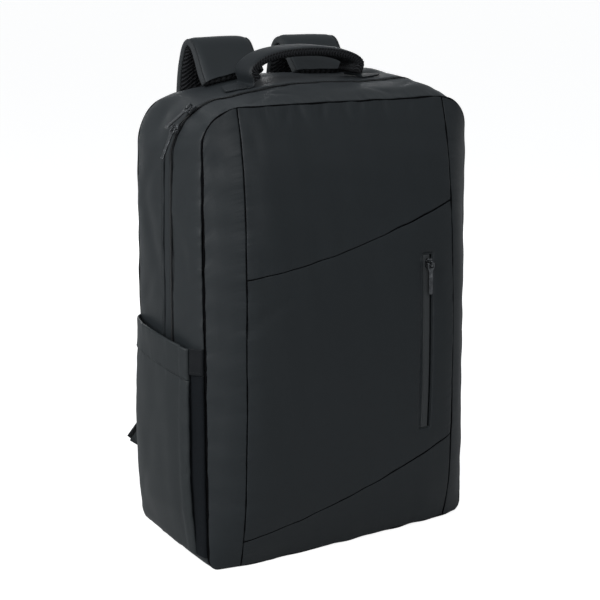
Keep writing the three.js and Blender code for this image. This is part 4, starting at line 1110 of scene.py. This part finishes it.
for side, name in ((-1, "left"), (1, "right")):
    bodyPlace = sideCloth(side, pocket["backY"], pocket["frontY"], pocketFoot,
                          lambda y: hemLine(y) - pocket["hem"] - 0.2, pocketOuter)
    clothPiece(f"pocket_cloth_{name}", bodyPlace, (pocket["width"], pocket["height"]), cloths["pocketCoat"],
               "pocket_cloth", [f"pocket_{name}"], wall=pocket["wall"], tucks=(3.6, 2.6, 1.4, 0.6),
               pull=(0.2, 0.3, 0.3, 0.4), pucker=0.3, creases=pocketCreases[side], seed=31 + side,
               uneven=0.5, cell=3.0)
    hemPlace = sideCloth(side, pocket["backY"], pocket["frontY"], lambda y: hemLine(y) - pocket["hem"],
                         hemLine,
                         lambda y, z: pocketOuter(y, z) + pocket["hemProud"])
    clothPiece(f"pocket_hem_cloth_{name}", hemPlace, (pocket["width"], pocket["hem"]), cloths["pocketCoat"],
               "pocket_cloth", [f"pocket_hem_{name}"], wall=2.1, tucks=(4.6, 3.6, 0.9, 1.9), pull=0.15,
               pucker=0.25, seed=33 + side, uneven=0.3, cell=2.4)
    webPlace = sideCloth(side, pocket["frontY"] + pocket["webFold"], pocket["seamY"], pocketFoot,
                         lambda y: webFoot(y) - 0.6, lambda y, z: 0 * y + pocket["clear"] + pocket["webWall"])
    clothPiece(f"pocket_web_cloth_{name}", webPlace, (pocket["webWidth"], pocket["height"]),
               cloths["stretchWeb"], "web_cloth", [f"pocket_web_{name}"], wall=pocket["webWall"],
               tucks=(0, 2.6, 0.4, 0), pull=0.1, pucker=0.2, seed=35 + side, uneven=0.15, cell=2.2)
    webHemPlace = sideCloth(side, pocket["frontY"] - 0.6, pocket["seamY"], webFoot,
                            lambda y: 0 * y + pocket["webTop"],
                            lambda y, z: pocket["clear"] + slackness(y) + pocket["webHemWall"])
    clothPiece(f"pocket_web_hem_cloth_{name}", webHemPlace, (pocket["webHemWidth"], pocket["webHem"]),
               cloths["webHemCoat"], "pocket_cloth", [f"pocket_web_hem_{name}"], wall=pocket["webHemWall"],
               tucks=(0.3, 3.0, 0.9, 0.9), pull=0.1, pucker=0.05, seed=37 + side, uneven=0.1, cell=1.2)
    across = np.linspace(0.01, 0.985, 120)
    # a row of near-black stitches on the hem's foot: painted shade for the fold line under the hem
    stitchRow(darkStitchesAndShade, *lineOn(hemPlace, across, 0.045, lift=0.0))
    stitchRow(stitches, *lineOn(hemPlace, across, 0.9, lift=-0.35))
    stitchRow(stitches, *lineOn(webHemPlace, np.linspace(0.03, 0.97, 20), 0.12, lift=-0.1))
    stitchRow(stitches, *lineOn(bodyPlace, 0.975, np.linspace(0.03, 0.99, 200), lift=-0.3))
print("side pockets made")

# back
backRows = {"at": [0, 0.06, 0.14, 0.5, 0.86, 0.94, 1], "x": [0, 0.03, 0.1, 0.5, 0.9, 0.97, 1]}


def backPlace(u, v):
    x = -bag["halfWidth"] + 2 * bag["halfWidth"] * readCurve(backRows, "x", u)
    y = np.full_like(x, bag["halfDepth"])
    low, high = outlineBase(x, y), outlineTop(x, y)
    return soften(x, y, low + (high - low) * v)


clothPiece("back_cloth", backPlace, (2 * bag["halfWidth"], bag["height"]), cloths["backWeave"], "back_cloth",
           ["back_panel"],
           tucks=(2.0, 2.0, 1.8, 1.8), seed=41, uneven=0.3, cell=3.8)

pads = {  # the cloth's own settings are metres, all else is millimetres
    "voxel": 4.2, "quickVoxel": 6, "cap": 3.5, "channel": 54.0, "slope": 0.35, "seamWidth": 3.0,
    "inner": 11, "outer": 120.5, "low": 66, "high": 400, "rim": 2.8, "backed": 3, "grooveReach": 2.4,
    "grooveDepth": 2.6, "grooveFrom": 71, "grooveTo": 77,
    "pressure": 4.0, "frames": 16, "quality": 6, "stiffness": 12, "bending": 0.6,
}


def quiltLines(points, side):  # how far a point is from the nearest sewn channel, in millimetres
    x, z = side * points[:, 0] / mm, points[:, 2] / mm
    run = z - pads["low"] - pads["slope"] * (x - pads["inner"])
    return np.abs((run + pads["channel"] / 2) % pads["channel"] - pads["channel"] / 2)


def puffPad(name, side):  # the pad's cover is blown up between its sewn channels
    bm = mergedCopy(name)
    mesh = bpy.data.meshes.new(name + "_puff")
    bm.to_mesh(mesh)
    bm.free()
    piece = bpy.data.objects.new(name + "_puff", mesh)
    bpy.context.scene.collection.objects.link(piece)
    remesh = piece.modifiers.new("even", "REMESH")
    remesh.mode = "VOXEL"
    remesh.voxel_size = pads["voxel"] * mm
    evaluated = piece.evaluated_get(bpy.context.evaluated_depsgraph_get())
    meshed = bpy.data.meshes.new_from_object(evaluated)
    piece.modifiers.clear()
    piece.data = meshed
    rest = np.array([v.co for v in meshed.vertices])
    sewn = quiltLines(rest, side) < pads["seamWidth"] / 2
    backed = rest[:, 1] < rest[:, 1].min() + pads["backed"] * mm
    sideways, up = side * rest[:, 0], rest[:, 2]
    fromRim = np.minimum.reduce([sideways - pads["inner"] * mm, pads["outer"] * mm - sideways,
                                 up - pads["low"] * mm, pads["high"] * mm - up])
    rim = fromRim < pads["rim"] * mm
    held = piece.vertex_groups.new(name="sewn")
    held.add([int(i) for i in np.flatnonzero(sewn | backed | rim)], 1.0, "REPLACE")
    cloth = piece.modifiers.new("puff", "CLOTH")
    cloth.settings.quality = pads["quality"]
    cloth.settings.tension_stiffness = pads["stiffness"]
    cloth.settings.compression_stiffness = pads["stiffness"]
    cloth.settings.bending_stiffness = pads["bending"]
    cloth.settings.use_pressure = True
    cloth.settings.uniform_pressure_force = pads["pressure"]
    cloth.settings.vertex_group_mass = "sewn"
    cloth.settings.effector_weights.gravity = 0
    cloth.point_cache.frame_start, cloth.point_cache.frame_end = 1, pads["frames"]
    scene = bpy.context.scene
    for frameNumber in range(1, pads["frames"] + 1):
        scene.frame_set(frameNumber)
    evaluated = piece.evaluated_get(bpy.context.evaluated_depsgraph_get())
    moved = np.array([v.co for v in evaluated.data.vertices]) - rest
    piece.modifiers.clear()
    scene.frame_set(1)
    far = np.linalg.norm(moved, axis=1, keepdims=True)
    moved *= np.minimum(1, pads["cap"] * mm / np.maximum(far, 1e-9))
    rest = rest + moved
    groove = np.exp(-((quiltLines(rest, side) / pads["grooveReach"]) ** 2)) * pads["grooveDepth"] * mm
    rest[:, 1] -= groove * easeBetween(rest[:, 1], pads["grooveFrom"] * mm, pads["grooveTo"] * mm)
    bm = bmesh.new()
    bm.from_mesh(piece.data)
    for vertex, point in zip(bm.verts, rest):
        vertex.co = point
    bmesh.ops.smooth_vert(bm, verts=bm.verts, factor=0.4, use_axis_x=True, use_axis_y=True, use_axis_z=True)
    points = np.array([v.co for v in bm.verts])
    bpy.data.objects.remove(piece)
    pad = finishPiece(bm, name + "_quilted", meshes["padRibs"], [name], "bag",
                      {"clothPlace": points[:, [0, 2, 1]] * [1, 1, 0],
                       "seamAway": np.full((len(points), 3), farFromSeams)})
    pad.vertex_groups.clear()
    finer = pad.modifiers.new("finer", "SUBSURF")
    finer.levels = finer.render_levels = 1


for side, name in ((-1, "back_pad_left"), (1, "back_pad_right")):
    puffPad(name, side)
print("back and its pads made")


# ribbons along a path: straps, handle, webbing
def splineThrough(points, count):  # even points on a smooth line through a path's own points
    points = np.array(points, float)
    chord = np.concatenate([[0], np.cumsum(np.linalg.norm(np.diff(points, axis=0), axis=1))])
    fine = np.linspace(0, chord[-1], 20 * len(points))
    padded = np.vstack([2 * points[0] - points[1], points, 2 * points[-1] - points[-2]])
    knots = np.concatenate([[-chord[1]], chord, [2 * chord[-1] - chord[-2]]])
    k = np.clip(np.searchsorted(chord, fine, side="right") - 1, 0, len(chord) - 2)
    t = ((fine - chord[k]) / (chord[k + 1] - chord[k]))[:, None]
    step = (chord[k + 1] - chord[k])[:, None]
    before = (padded[k + 2] - padded[k]) / (knots[k + 2] - knots[k])[:, None]
    after = (padded[k + 3] - padded[k + 1]) / (knots[k + 3] - knots[k + 1])[:, None]
    line = ((1 + 2 * t) * (1 - t) ** 2 * padded[k + 1] + t * (1 - t) ** 2 * step * before
            + t * t * (3 - 2 * t) * padded[k + 2] - t * t * (1 - t) * step * after)
    run = np.concatenate([[0], np.cumsum(np.linalg.norm(np.diff(line, axis=0), axis=1))])
    even = np.linspace(0, run[-1], count)
    return np.stack([np.interp(even, run, line[:, i]) for i in range(3)], 1), run[-1]


def ribbonFrame(path, side):  # at each point of a path, the way out of the ribbon and the way across it
    along = np.gradient(path, axis=0)
    along /= np.linalg.norm(along, axis=1, keepdims=True)
    normal = np.cross(np.array(side, float), along)
    normal /= np.linalg.norm(normal, axis=1, keepdims=True)
    return normal, np.cross(along, normal)


def ribbonPlace(path, side, halves, section):
    # section(s, v) gives, for s from -1 to 1 across, the share of the width and how far out a point is
    normal, across = ribbonFrame(path, side)
    spots = np.linspace(0, 1, len(path))

    def place(u, v):
        s = 2 * u - 1
        wide, out = section(s, v)
        pick = lambda line: np.stack([np.interp(v, spots, line[:, i]) for i in range(3)], -1)
        half = np.interp(v, spots, halves)
        return pick(path) + pick(across) * (wide * half)[..., None] + pick(normal) * out[..., None]
    return place


def sweptPad(name, path, side, halves, section, material, nodes, around=28,
             seat=None, ribbed=None):
    # a closed padded form: section(angle, v) gives its width share and its height out of the path
    normal, across = ribbonFrame(path, side)
    bm = bmesh.new()
    bmesh.ops.create_grid(bm, x_segments=around, y_segments=len(path) - 1, size=0.5)
    flat = np.array([v.co[:2] for v in bm.verts]) + 0.5
    row = np.rint(flat[:, 1] * (len(path) - 1)).astype(int)
    angle = 2 * np.pi * flat[:, 0]
    wide, out = section(angle, row / (len(path) - 1))
    points = path[row] + across[row] * (wide * halves[row])[:, None] + normal[row] * out[:, None]
    if seat:
        points = seat(points)
    for vertex, point in zip(bm.verts, points):
        vertex.co = point * mm
    length = np.linalg.norm(np.diff(path, axis=0), axis=1).sum()
    girth = wide * halves[row] + wide**3 * np.abs(out)  # how far round the section a point is
    layer = bm.verts.layers.float_vector.new("clothPlace")
    awayLayer = bm.verts.layers.float_vector.new("seamAway")
    for vertex, turned, v, half, w in zip(bm.verts, girth, flat[:, 1], halves[row], wide):
        vertex[layer] = Vector((turned * mm, v * length * mm, 0))
        vertex[awayLayer] = Vector(((1 - abs(w)) * half * mm, farFromSeams, 0))
    bmesh.ops.remove_doubles(bm, verts=bm.verts, dist=1e-6)
    bmesh.ops.holes_fill(bm, edges=[e for e in bm.edges if e.is_boundary], sides=0)
    bmesh.ops.recalc_face_normals(bm, faces=bm.faces)
    if ribbed:  # raised ribs round the whole form
        bm.normal_update()
        for vertex in bm.verts:
            turned, run = vertex[layer].x / mm, vertex[layer].y / mm
            wave = math.sin(2 * math.pi * (turned * ribbed["slant"] + run) / ribbed["pitch"])
            vertex.co += vertex.normal * (0.5 * ribbed["depth"] * mm * wave)
    finishPiece(bm, name, material, nodes)


# the seam tubes, near-black, paint the shade in every seam groove
for name, points, side, ring in seamPaths:
    sweptPad(name, points, side, np.ones(len(points)), ring, cloths["seamShadowTube"], [], around=8)

strap = {"x": 53, "endX": 80, "width": 68, "endWidth": 44, "thickness": 10, "baseY": 48, "reach": 50,
         "rise": 33, "drop": 278, "flatWidth": 62, "edge": 4.4, "rim": 0.8, "insideY": 72, "insideZ": 440}
binding = {"thick": 1.7, "tall": 3.4}
loopRows = [(0, 0), (0.17, 0.31), (0.35, 0.66), (0.47, 0.9), (0.6, 1), (0.72, 0.93), (0.81, 0.76),
            (0.89, 0.48),
            (0.96, 0.16)]
fallRows = [(1.03, 0.05), (1.12, 0.2), (1.18, 0.4), (1.15, 0.6), (1.04, 0.8), (0.96, 0.93), (0.91, 1)]


def strapPath(side, count=150):
    z0 = float(topSurface(np.array(strap["x"]), np.array(strap["baseY"])))
    rows = [(strap["baseY"] + b * strap["reach"], z0 + up * strap["rise"] + 0.6 * (up == 0), 0.0) for b,
            up in loopRows]
    rows += [(strap["baseY"] + b * strap["reach"], z0 - d * strap["drop"], d) for b, d in fallRows]
    points = [(side * (strap["x"] + (strap["endX"] - strap["x"]) * d**2.2), y, z) for y, z, d in rows]
    path, length = splineThrough(points, count)
    down = np.clip((z0 - path[:, 2]) / strap["drop"], 0, 1)
    down[: count // 4] = 0
    halves = (strap["width"] + (strap["endWidth"] - strap["width"]) * down**1.6) / 2
    return path, halves, length


def rootedStrap(side):  # the sewn-in end of a strap follows the bag's arched top
    def seat(points):
        root = 1 - easeBetween(points[..., 2] - topSurface(side * strap["x"], strap["baseY"]), 6, 26)
        root = root * (points[..., 1] < strap["baseY"] + 0.4 * strap["reach"])
        y = np.full(points.shape[:-1], float(strap["baseY"]))
        drop = topSurface(points[..., 0], y) - topSurface(np.full_like(y, side * strap["x"]), y)
        points[..., 2] += root * drop
        return points
    return seat


for side, name in ((-1, "left"), (1, "right")):
    path, halves, length = strapPath(side)
    seat = rootedStrap(side)
    finePath, fineHalves, _ = strapPath(side, 460)
    half = strap["thickness"] / 2
    inside = (side * strap["x"], strap["insideY"], strap["insideZ"])

    def coverSection(s, v, half=half):  # full in the middle and rolled over at both edges
        edge = np.clip((np.abs(s) - 0.76) / 0.24, 0, 1)
        roll = 1 - np.sqrt(np.maximum(0, 1 - edge**2))
        return s * (1 - 0.01 * edge), half + 0.9 * (1 - s**4) - strap["edge"] * roll

    def padSection(angle, v, half=half):  # a flat oval that fills the cover
        c, s = np.cos(angle), np.sin(angle)
        wide = np.sign(c) * np.abs(c) ** 0.32 * 0.965
        out = np.sign(s) * np.abs(s) ** 0.6
        return wide, np.where(out > 0, (half - 2.1) * out, (half + 0.6) * out)

    ribbon = ribbonPlace(path, (1, 0, 0), halves, coverSection)
    coverPlace = lambda u, v, ribbon=ribbon, seat=seat: seat(ribbon(u, v))
    sweptPad(f"strap_mesh_{name}", finePath, (1, 0, 0), fineHalves, padSection, meshes["strapRibs"],
             [f"strap_pad_{name}"], around=36, seat=seat, ribbed=ribLook["strap"])
    clothPiece(f"strap_cloth_{name}", coverPlace, (strap["flatWidth"], length), cloths["strapCoat"],
               "shell_cloth",
               [f"strap_cover_{name}"], cell=3.0, wall=1.4, tucks=(0, 0, 0.3, 0.3), pucker=0.2, pull=0.0,
               uneven=0.5,
               unevenLengths=(40, 60, 90), seed=51 + side, away=inside)
    for edge in (-1, 1):  # the binding that closes cover and mesh together
        normal, across = ribbonFrame(path, (1, 0, 0))
        rim = path + across * (edge * (halves - strap["rim"]))[:, None] + normal * (half - strap["edge"])
        ring = lambda angle, v: (np.cos(angle) * binding["thick"], np.sin(angle) * binding["tall"])
        sweptPad(f"strap_binding_{name}_{'in' if edge < 0 else 'out'}", rim, (1, 0, 0), np.ones(len(rim)),
                 ring,
                 cloths["bindingTape"], [], around=12, seat=seat)
        stitchRow(stitches, *lineOn(coverPlace, 0.5 + edge * 0.455, np.linspace(0.01, 0.99, 260), inside,
                                    -0.1))
print("straps made")

# handle
handle = {"span": 152, "x": 3.5, "rise": 29.5, "y": 12, "pad": 6, "half": 16.2, "flatWidth": 34,
          "footTurn": 7, "steps": 200, "padSteps": 420}
handleInside = (handle["x"], handle["y"], 420)
handleRows = [(1, 0), (0.95, 0), (0.88, 0), (0.835, 0.03), (0.83, 0.14), (0.855, 0.3), (0.87, 0.44),
              (0.855, 0.58),
              (0.79, 0.73), (0.67, 0.85), (0.49, 0.94), (0.25, 0.985), (0, 1)]


def handleLine(rows, count):
    both = [(-out, up) for out, up in rows] + list(reversed(rows[:-1]))
    points = []
    for out, up in both:
        x = handle["x"] + out * handle["span"] / 2
        top = float(topSurface(np.array(x), np.array(handle["y"])))
        points.append((x, handle["y"], top + 0.5 + up * handle["rise"]))
    return splineThrough(points, count)


handlePath, handleLength = handleLine([(1.2, 0), (1.1, 0), *handleRows], handle["steps"])
run = np.linspace(0, handleLength, handle["steps"])
fromEnd = np.minimum(run, handleLength - run)
handlePath[:, 1] -= handle["footTurn"] * (1 - easeBetween(fromEnd, 0,
                                                          20))  # the pointed feet turn to the front
handleHalves = np.interp(fromEnd, [0, 13, 24, 32], [1.2, 13.5, 15.5, 16])
lifted = np.interp(fromEnd, [0, 27, 37], [0, 0, 1])


def handleSection(s, v):
    edge = np.clip((np.abs(s) - 0.62) / 0.38, 0, 1)
    roll = 1 - np.sqrt(np.maximum(0, 1 - edge**2 * 0.98))
    full = np.interp(v, np.linspace(0, 1, handle["steps"]), lifted)
    return s * (1 + 0.05 * full * (1 - edge)), 1.5 + full * (1.0 * (1 - s**2) - 3.6 * roll)


def seated(place):  # the feet follow the bag's arched top
    def onTop(u, v):
        point = place(u, v)
        middle = np.full_like(point[..., 0], handle["y"])
        point[..., 2] += topSurface(point[..., 0], point[..., 1]) - topSurface(point[..., 0], middle)
        return point
    return onTop


handlePlace = seated(ribbonPlace(handlePath, (0, -1, 0), handleHalves, handleSection))
clothPiece("handle_cloth", handlePlace, (handle["flatWidth"], handleLength), cloths["handleCoat"],
           "shell_cloth", ["handle_cover"],
           cell=2.0, wall=1.4, tucks=(0, 0, 0, 0), pucker=0.0, pull=0.0, uneven=0.35,
           unevenLengths=(22, 35, 50),
           seed=61, away=handleInside)
padLine, padLength = handleLine(handleRows[4:], handle["padSteps"])


def handlePadSection(angle, v):
    c, s = np.cos(angle), np.sin(angle)
    thick = handle["pad"] + 1.6 + 3.0 * np.exp(-((np.minimum(v, 1 - v) * padLength / 15) ** 2))
    return np.sign(c) * np.abs(c) ** 0.45, np.where(s > 0, 0.4, thick) * np.sign(s) * np.abs(s) ** 0.7 - 0.4


sweptPad("handle_mesh", padLine, (0, -1, 0), np.full(handle["padSteps"], handle["half"]), handlePadSection,
         meshes["handleRibs"],
         ["handle_pad"], around=40, ribbed=ribLook["handle"])
for edge in (0.06, 0.94):
    stitchRow(stitches, *lineOn(handlePlace, edge, np.linspace(0.02, 0.98, 260), handleInside, 0.0))
footFrom, footTo = 13 / handleLength, 24 / handleLength
for ends in ((footFrom, footTo), (1 - footFrom, 1 - footTo)):  # a crossed box of stitches holds each foot
    for start, stop in ((0.12, 0.88), (0.88, 0.12)):
        stitchRow(stitches, *lineOn(handlePlace, np.linspace(start, stop, 40), np.linspace(*ends, 40),
                                    handleInside, 0.1))
print("handle made")

# webbing, adjusters and side tabs
webbing = {"half": 12.5, "steps": 60, "levels": 8, "reach": 0.6, "proud": 0.8, "insideX": 110, "insideY": 40,
           "insideZ": 115}


def webbingLine(node):  # the middle of a CAD webbing, at even steps along it
    cloud = np.array([vertex.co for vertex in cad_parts[node].data.vertices]) / mm
    low = cloud[cloud[:, 2] < np.percentile(cloud[:, 2], 14)].mean(0)
    high = cloud[cloud[:, 2] > np.percentile(cloud[:, 2], 86)].mean(0)
    way = (low - high) / np.linalg.norm(low - high)
    run = (cloud - cloud.mean(0)) @ way
    levels = np.linspace(run.min(), run.max(), webbing["levels"])
    near = (levels[1] - levels[0]) * webbing["reach"]
    line = [cloud[np.abs(run - level) < near].mean(0) for level in levels]
    line[0] = 2 * line[1] - line[2]
    line[-1] = 2 * line[-2] - line[-3]
    return splineThrough(line, webbing["steps"])


for side, name in ((-1, "left"), (1, "right")):
    path, length = webbingLine(f"webbing_{name}")
    webPlace = ribbonPlace(path, (1, 0, 0), np.full(webbing["steps"], webbing["half"]),
                           lambda s, v: (s, webbing["proud"] - 0.15 * s**8))
    clothPiece(f"webbing_weave_{name}", webPlace, (2 * webbing["half"], length), cloths["webbingWeave"],
               "webbing", [f"webbing_{name}"], wall=1.5, cell=1.6, tucks=(0.4, 0.4, 0, 0), pull=0, pucker=0,
               uneven=0.1, seed=71 + side, held="hung",
               away=(side * webbing["insideX"], webbing["insideY"], webbing["insideZ"]))
    bevelledCopy(f"adjuster_{name}", 0.7, adjusterPlastic)
    bevelledCopy(f"side_tab_{name}", 0.6, cloths["pocketCoat"], angle=20)
print("webbing and adjusters made")

finishPiece(stitches, "topstitching", thread, [])
finishPiece(darkStitchesAndShade, "dark_stitching_and_shade", darkThreadAndShade, [])
print("stitches made")

# floor, light and camera
studio = {"floor": (0.5, 0.5, 0.5), "floorGlow": 0.8, "floorSize": 30, "floorZ": -0.6, "world": 0.36,
          "sky": (0.93, 0.97, 1.0), "key": 42.0, "front": 6.5, "back": 16.0, "right": 1.6}
floorMesh = bmesh.new()
bmesh.ops.create_grid(floorMesh, x_segments=2, y_segments=2, size=studio["floorSize"])
bmesh.ops.translate(floorMesh, verts=floorMesh.verts, vec=(0, 0, studio["floorZ"] * mm))
floorData = bpy.data.meshes.new("studioFloor")
floorMesh.to_mesh(floorData)
floorMesh.free()
floor = bpy.data.objects.new("studio_floor", floorData)
bpy.context.scene.collection.objects.link(floor)
floorMaterial, floorTree, floorShader = shaderBase("palePaper", 0.9, 0.1)
floorShader.inputs["Base Color"].default_value = (*studio["floor"], 1)
floorShader.inputs["Emission Color"].default_value = (1, 1, 1, 1)
seen = floorTree.nodes.new("ShaderNodeLightPath").outputs["Is Camera Ray"]  # the paper is lit apart
floorTree.links.new(mathNode(floorTree, "MULTIPLY", seen, studio["floorGlow"]),
                    floorShader.inputs["Emission Strength"])
floorData.materials.append(floorMaterial)

world = bpy.data.worlds.new("studioWorld")
world.use_nodes = True
skyTree = world.node_tree
lit = skyTree.nodes["Background"]
lit.inputs["Color"].default_value = (*studio["sky"], 1)
lit.inputs["Strength"].default_value = studio["world"]
white = skyTree.nodes.new("ShaderNodeBackground")
white.inputs["Color"].default_value = (1, 1, 1, 1)
either = skyTree.nodes.new("ShaderNodeMixShader")
skyTree.links.new(skyTree.nodes.new("ShaderNodeLightPath").outputs["Is Camera Ray"], either.inputs["Fac"])
skyTree.links.new(lit.outputs[0], either.inputs[1])
skyTree.links.new(white.outputs[0], either.inputs[2])
skyTree.links.new(either.outputs[0], skyTree.nodes["World Output"].inputs["Surface"])
bpy.context.scene.world = world
bpy.context.scene.view_settings.view_transform = "Standard"


def softBox(name, at, towards, size, power):
    light = bpy.data.lights.new(name, "AREA")
    light.shape, light.size, light.size_y, light.energy = "RECTANGLE", size[0], size[1], power
    lamp = bpy.data.objects.new(name, light)
    bpy.context.scene.collection.objects.link(lamp)
    lamp.location = at
    lamp.rotation_euler = (Vector(towards) - Vector(at)).to_track_quat("-Z", "Y").to_euler()


softBox("keyLight", (-2.0, -0.35, 1.35), (0, 0, 0.3), (1.2, 1.3), studio["key"])
softBox("backLight", (0.7, 2.0, 0.55), (0, 0, 0.25), (1.6, 0.8), studio["back"])
softBox("rightLight", (2.0, 0.3, 0.6), (0, 0, 0.25), (0.9, 0.9), studio["right"])
softBox("frontLight", (-0.45, -1.3, 1.0), (0, -0.1, 0.42), (0.8, 0.6), studio["front"])

view = {"azimuth": -33.32, "elevation": 12.61, "distance": 1480, "target": (-5.07, 0, 234.5), "lens": 87.4,
        "sensor": 36}
cameraData = bpy.data.cameras.new("photoCamera")
cameraData.lens, cameraData.sensor_width = view["lens"], view["sensor"]
camera = bpy.data.objects.new("photoCamera", cameraData)
bpy.context.scene.collection.objects.link(camera)
turn, tilt = math.radians(view["azimuth"]), math.radians(view["elevation"])
backwards = Vector((math.sin(turn) * math.cos(tilt), -math.cos(turn) * math.cos(tilt), math.sin(tilt)))
camera.location = Vector(view["target"]) * mm + backwards * view["distance"] * mm
camera.rotation_euler = (-backwards).to_track_quat("-Z", "Y").to_euler()
bpy.context.scene.camera = camera
print("studio made")
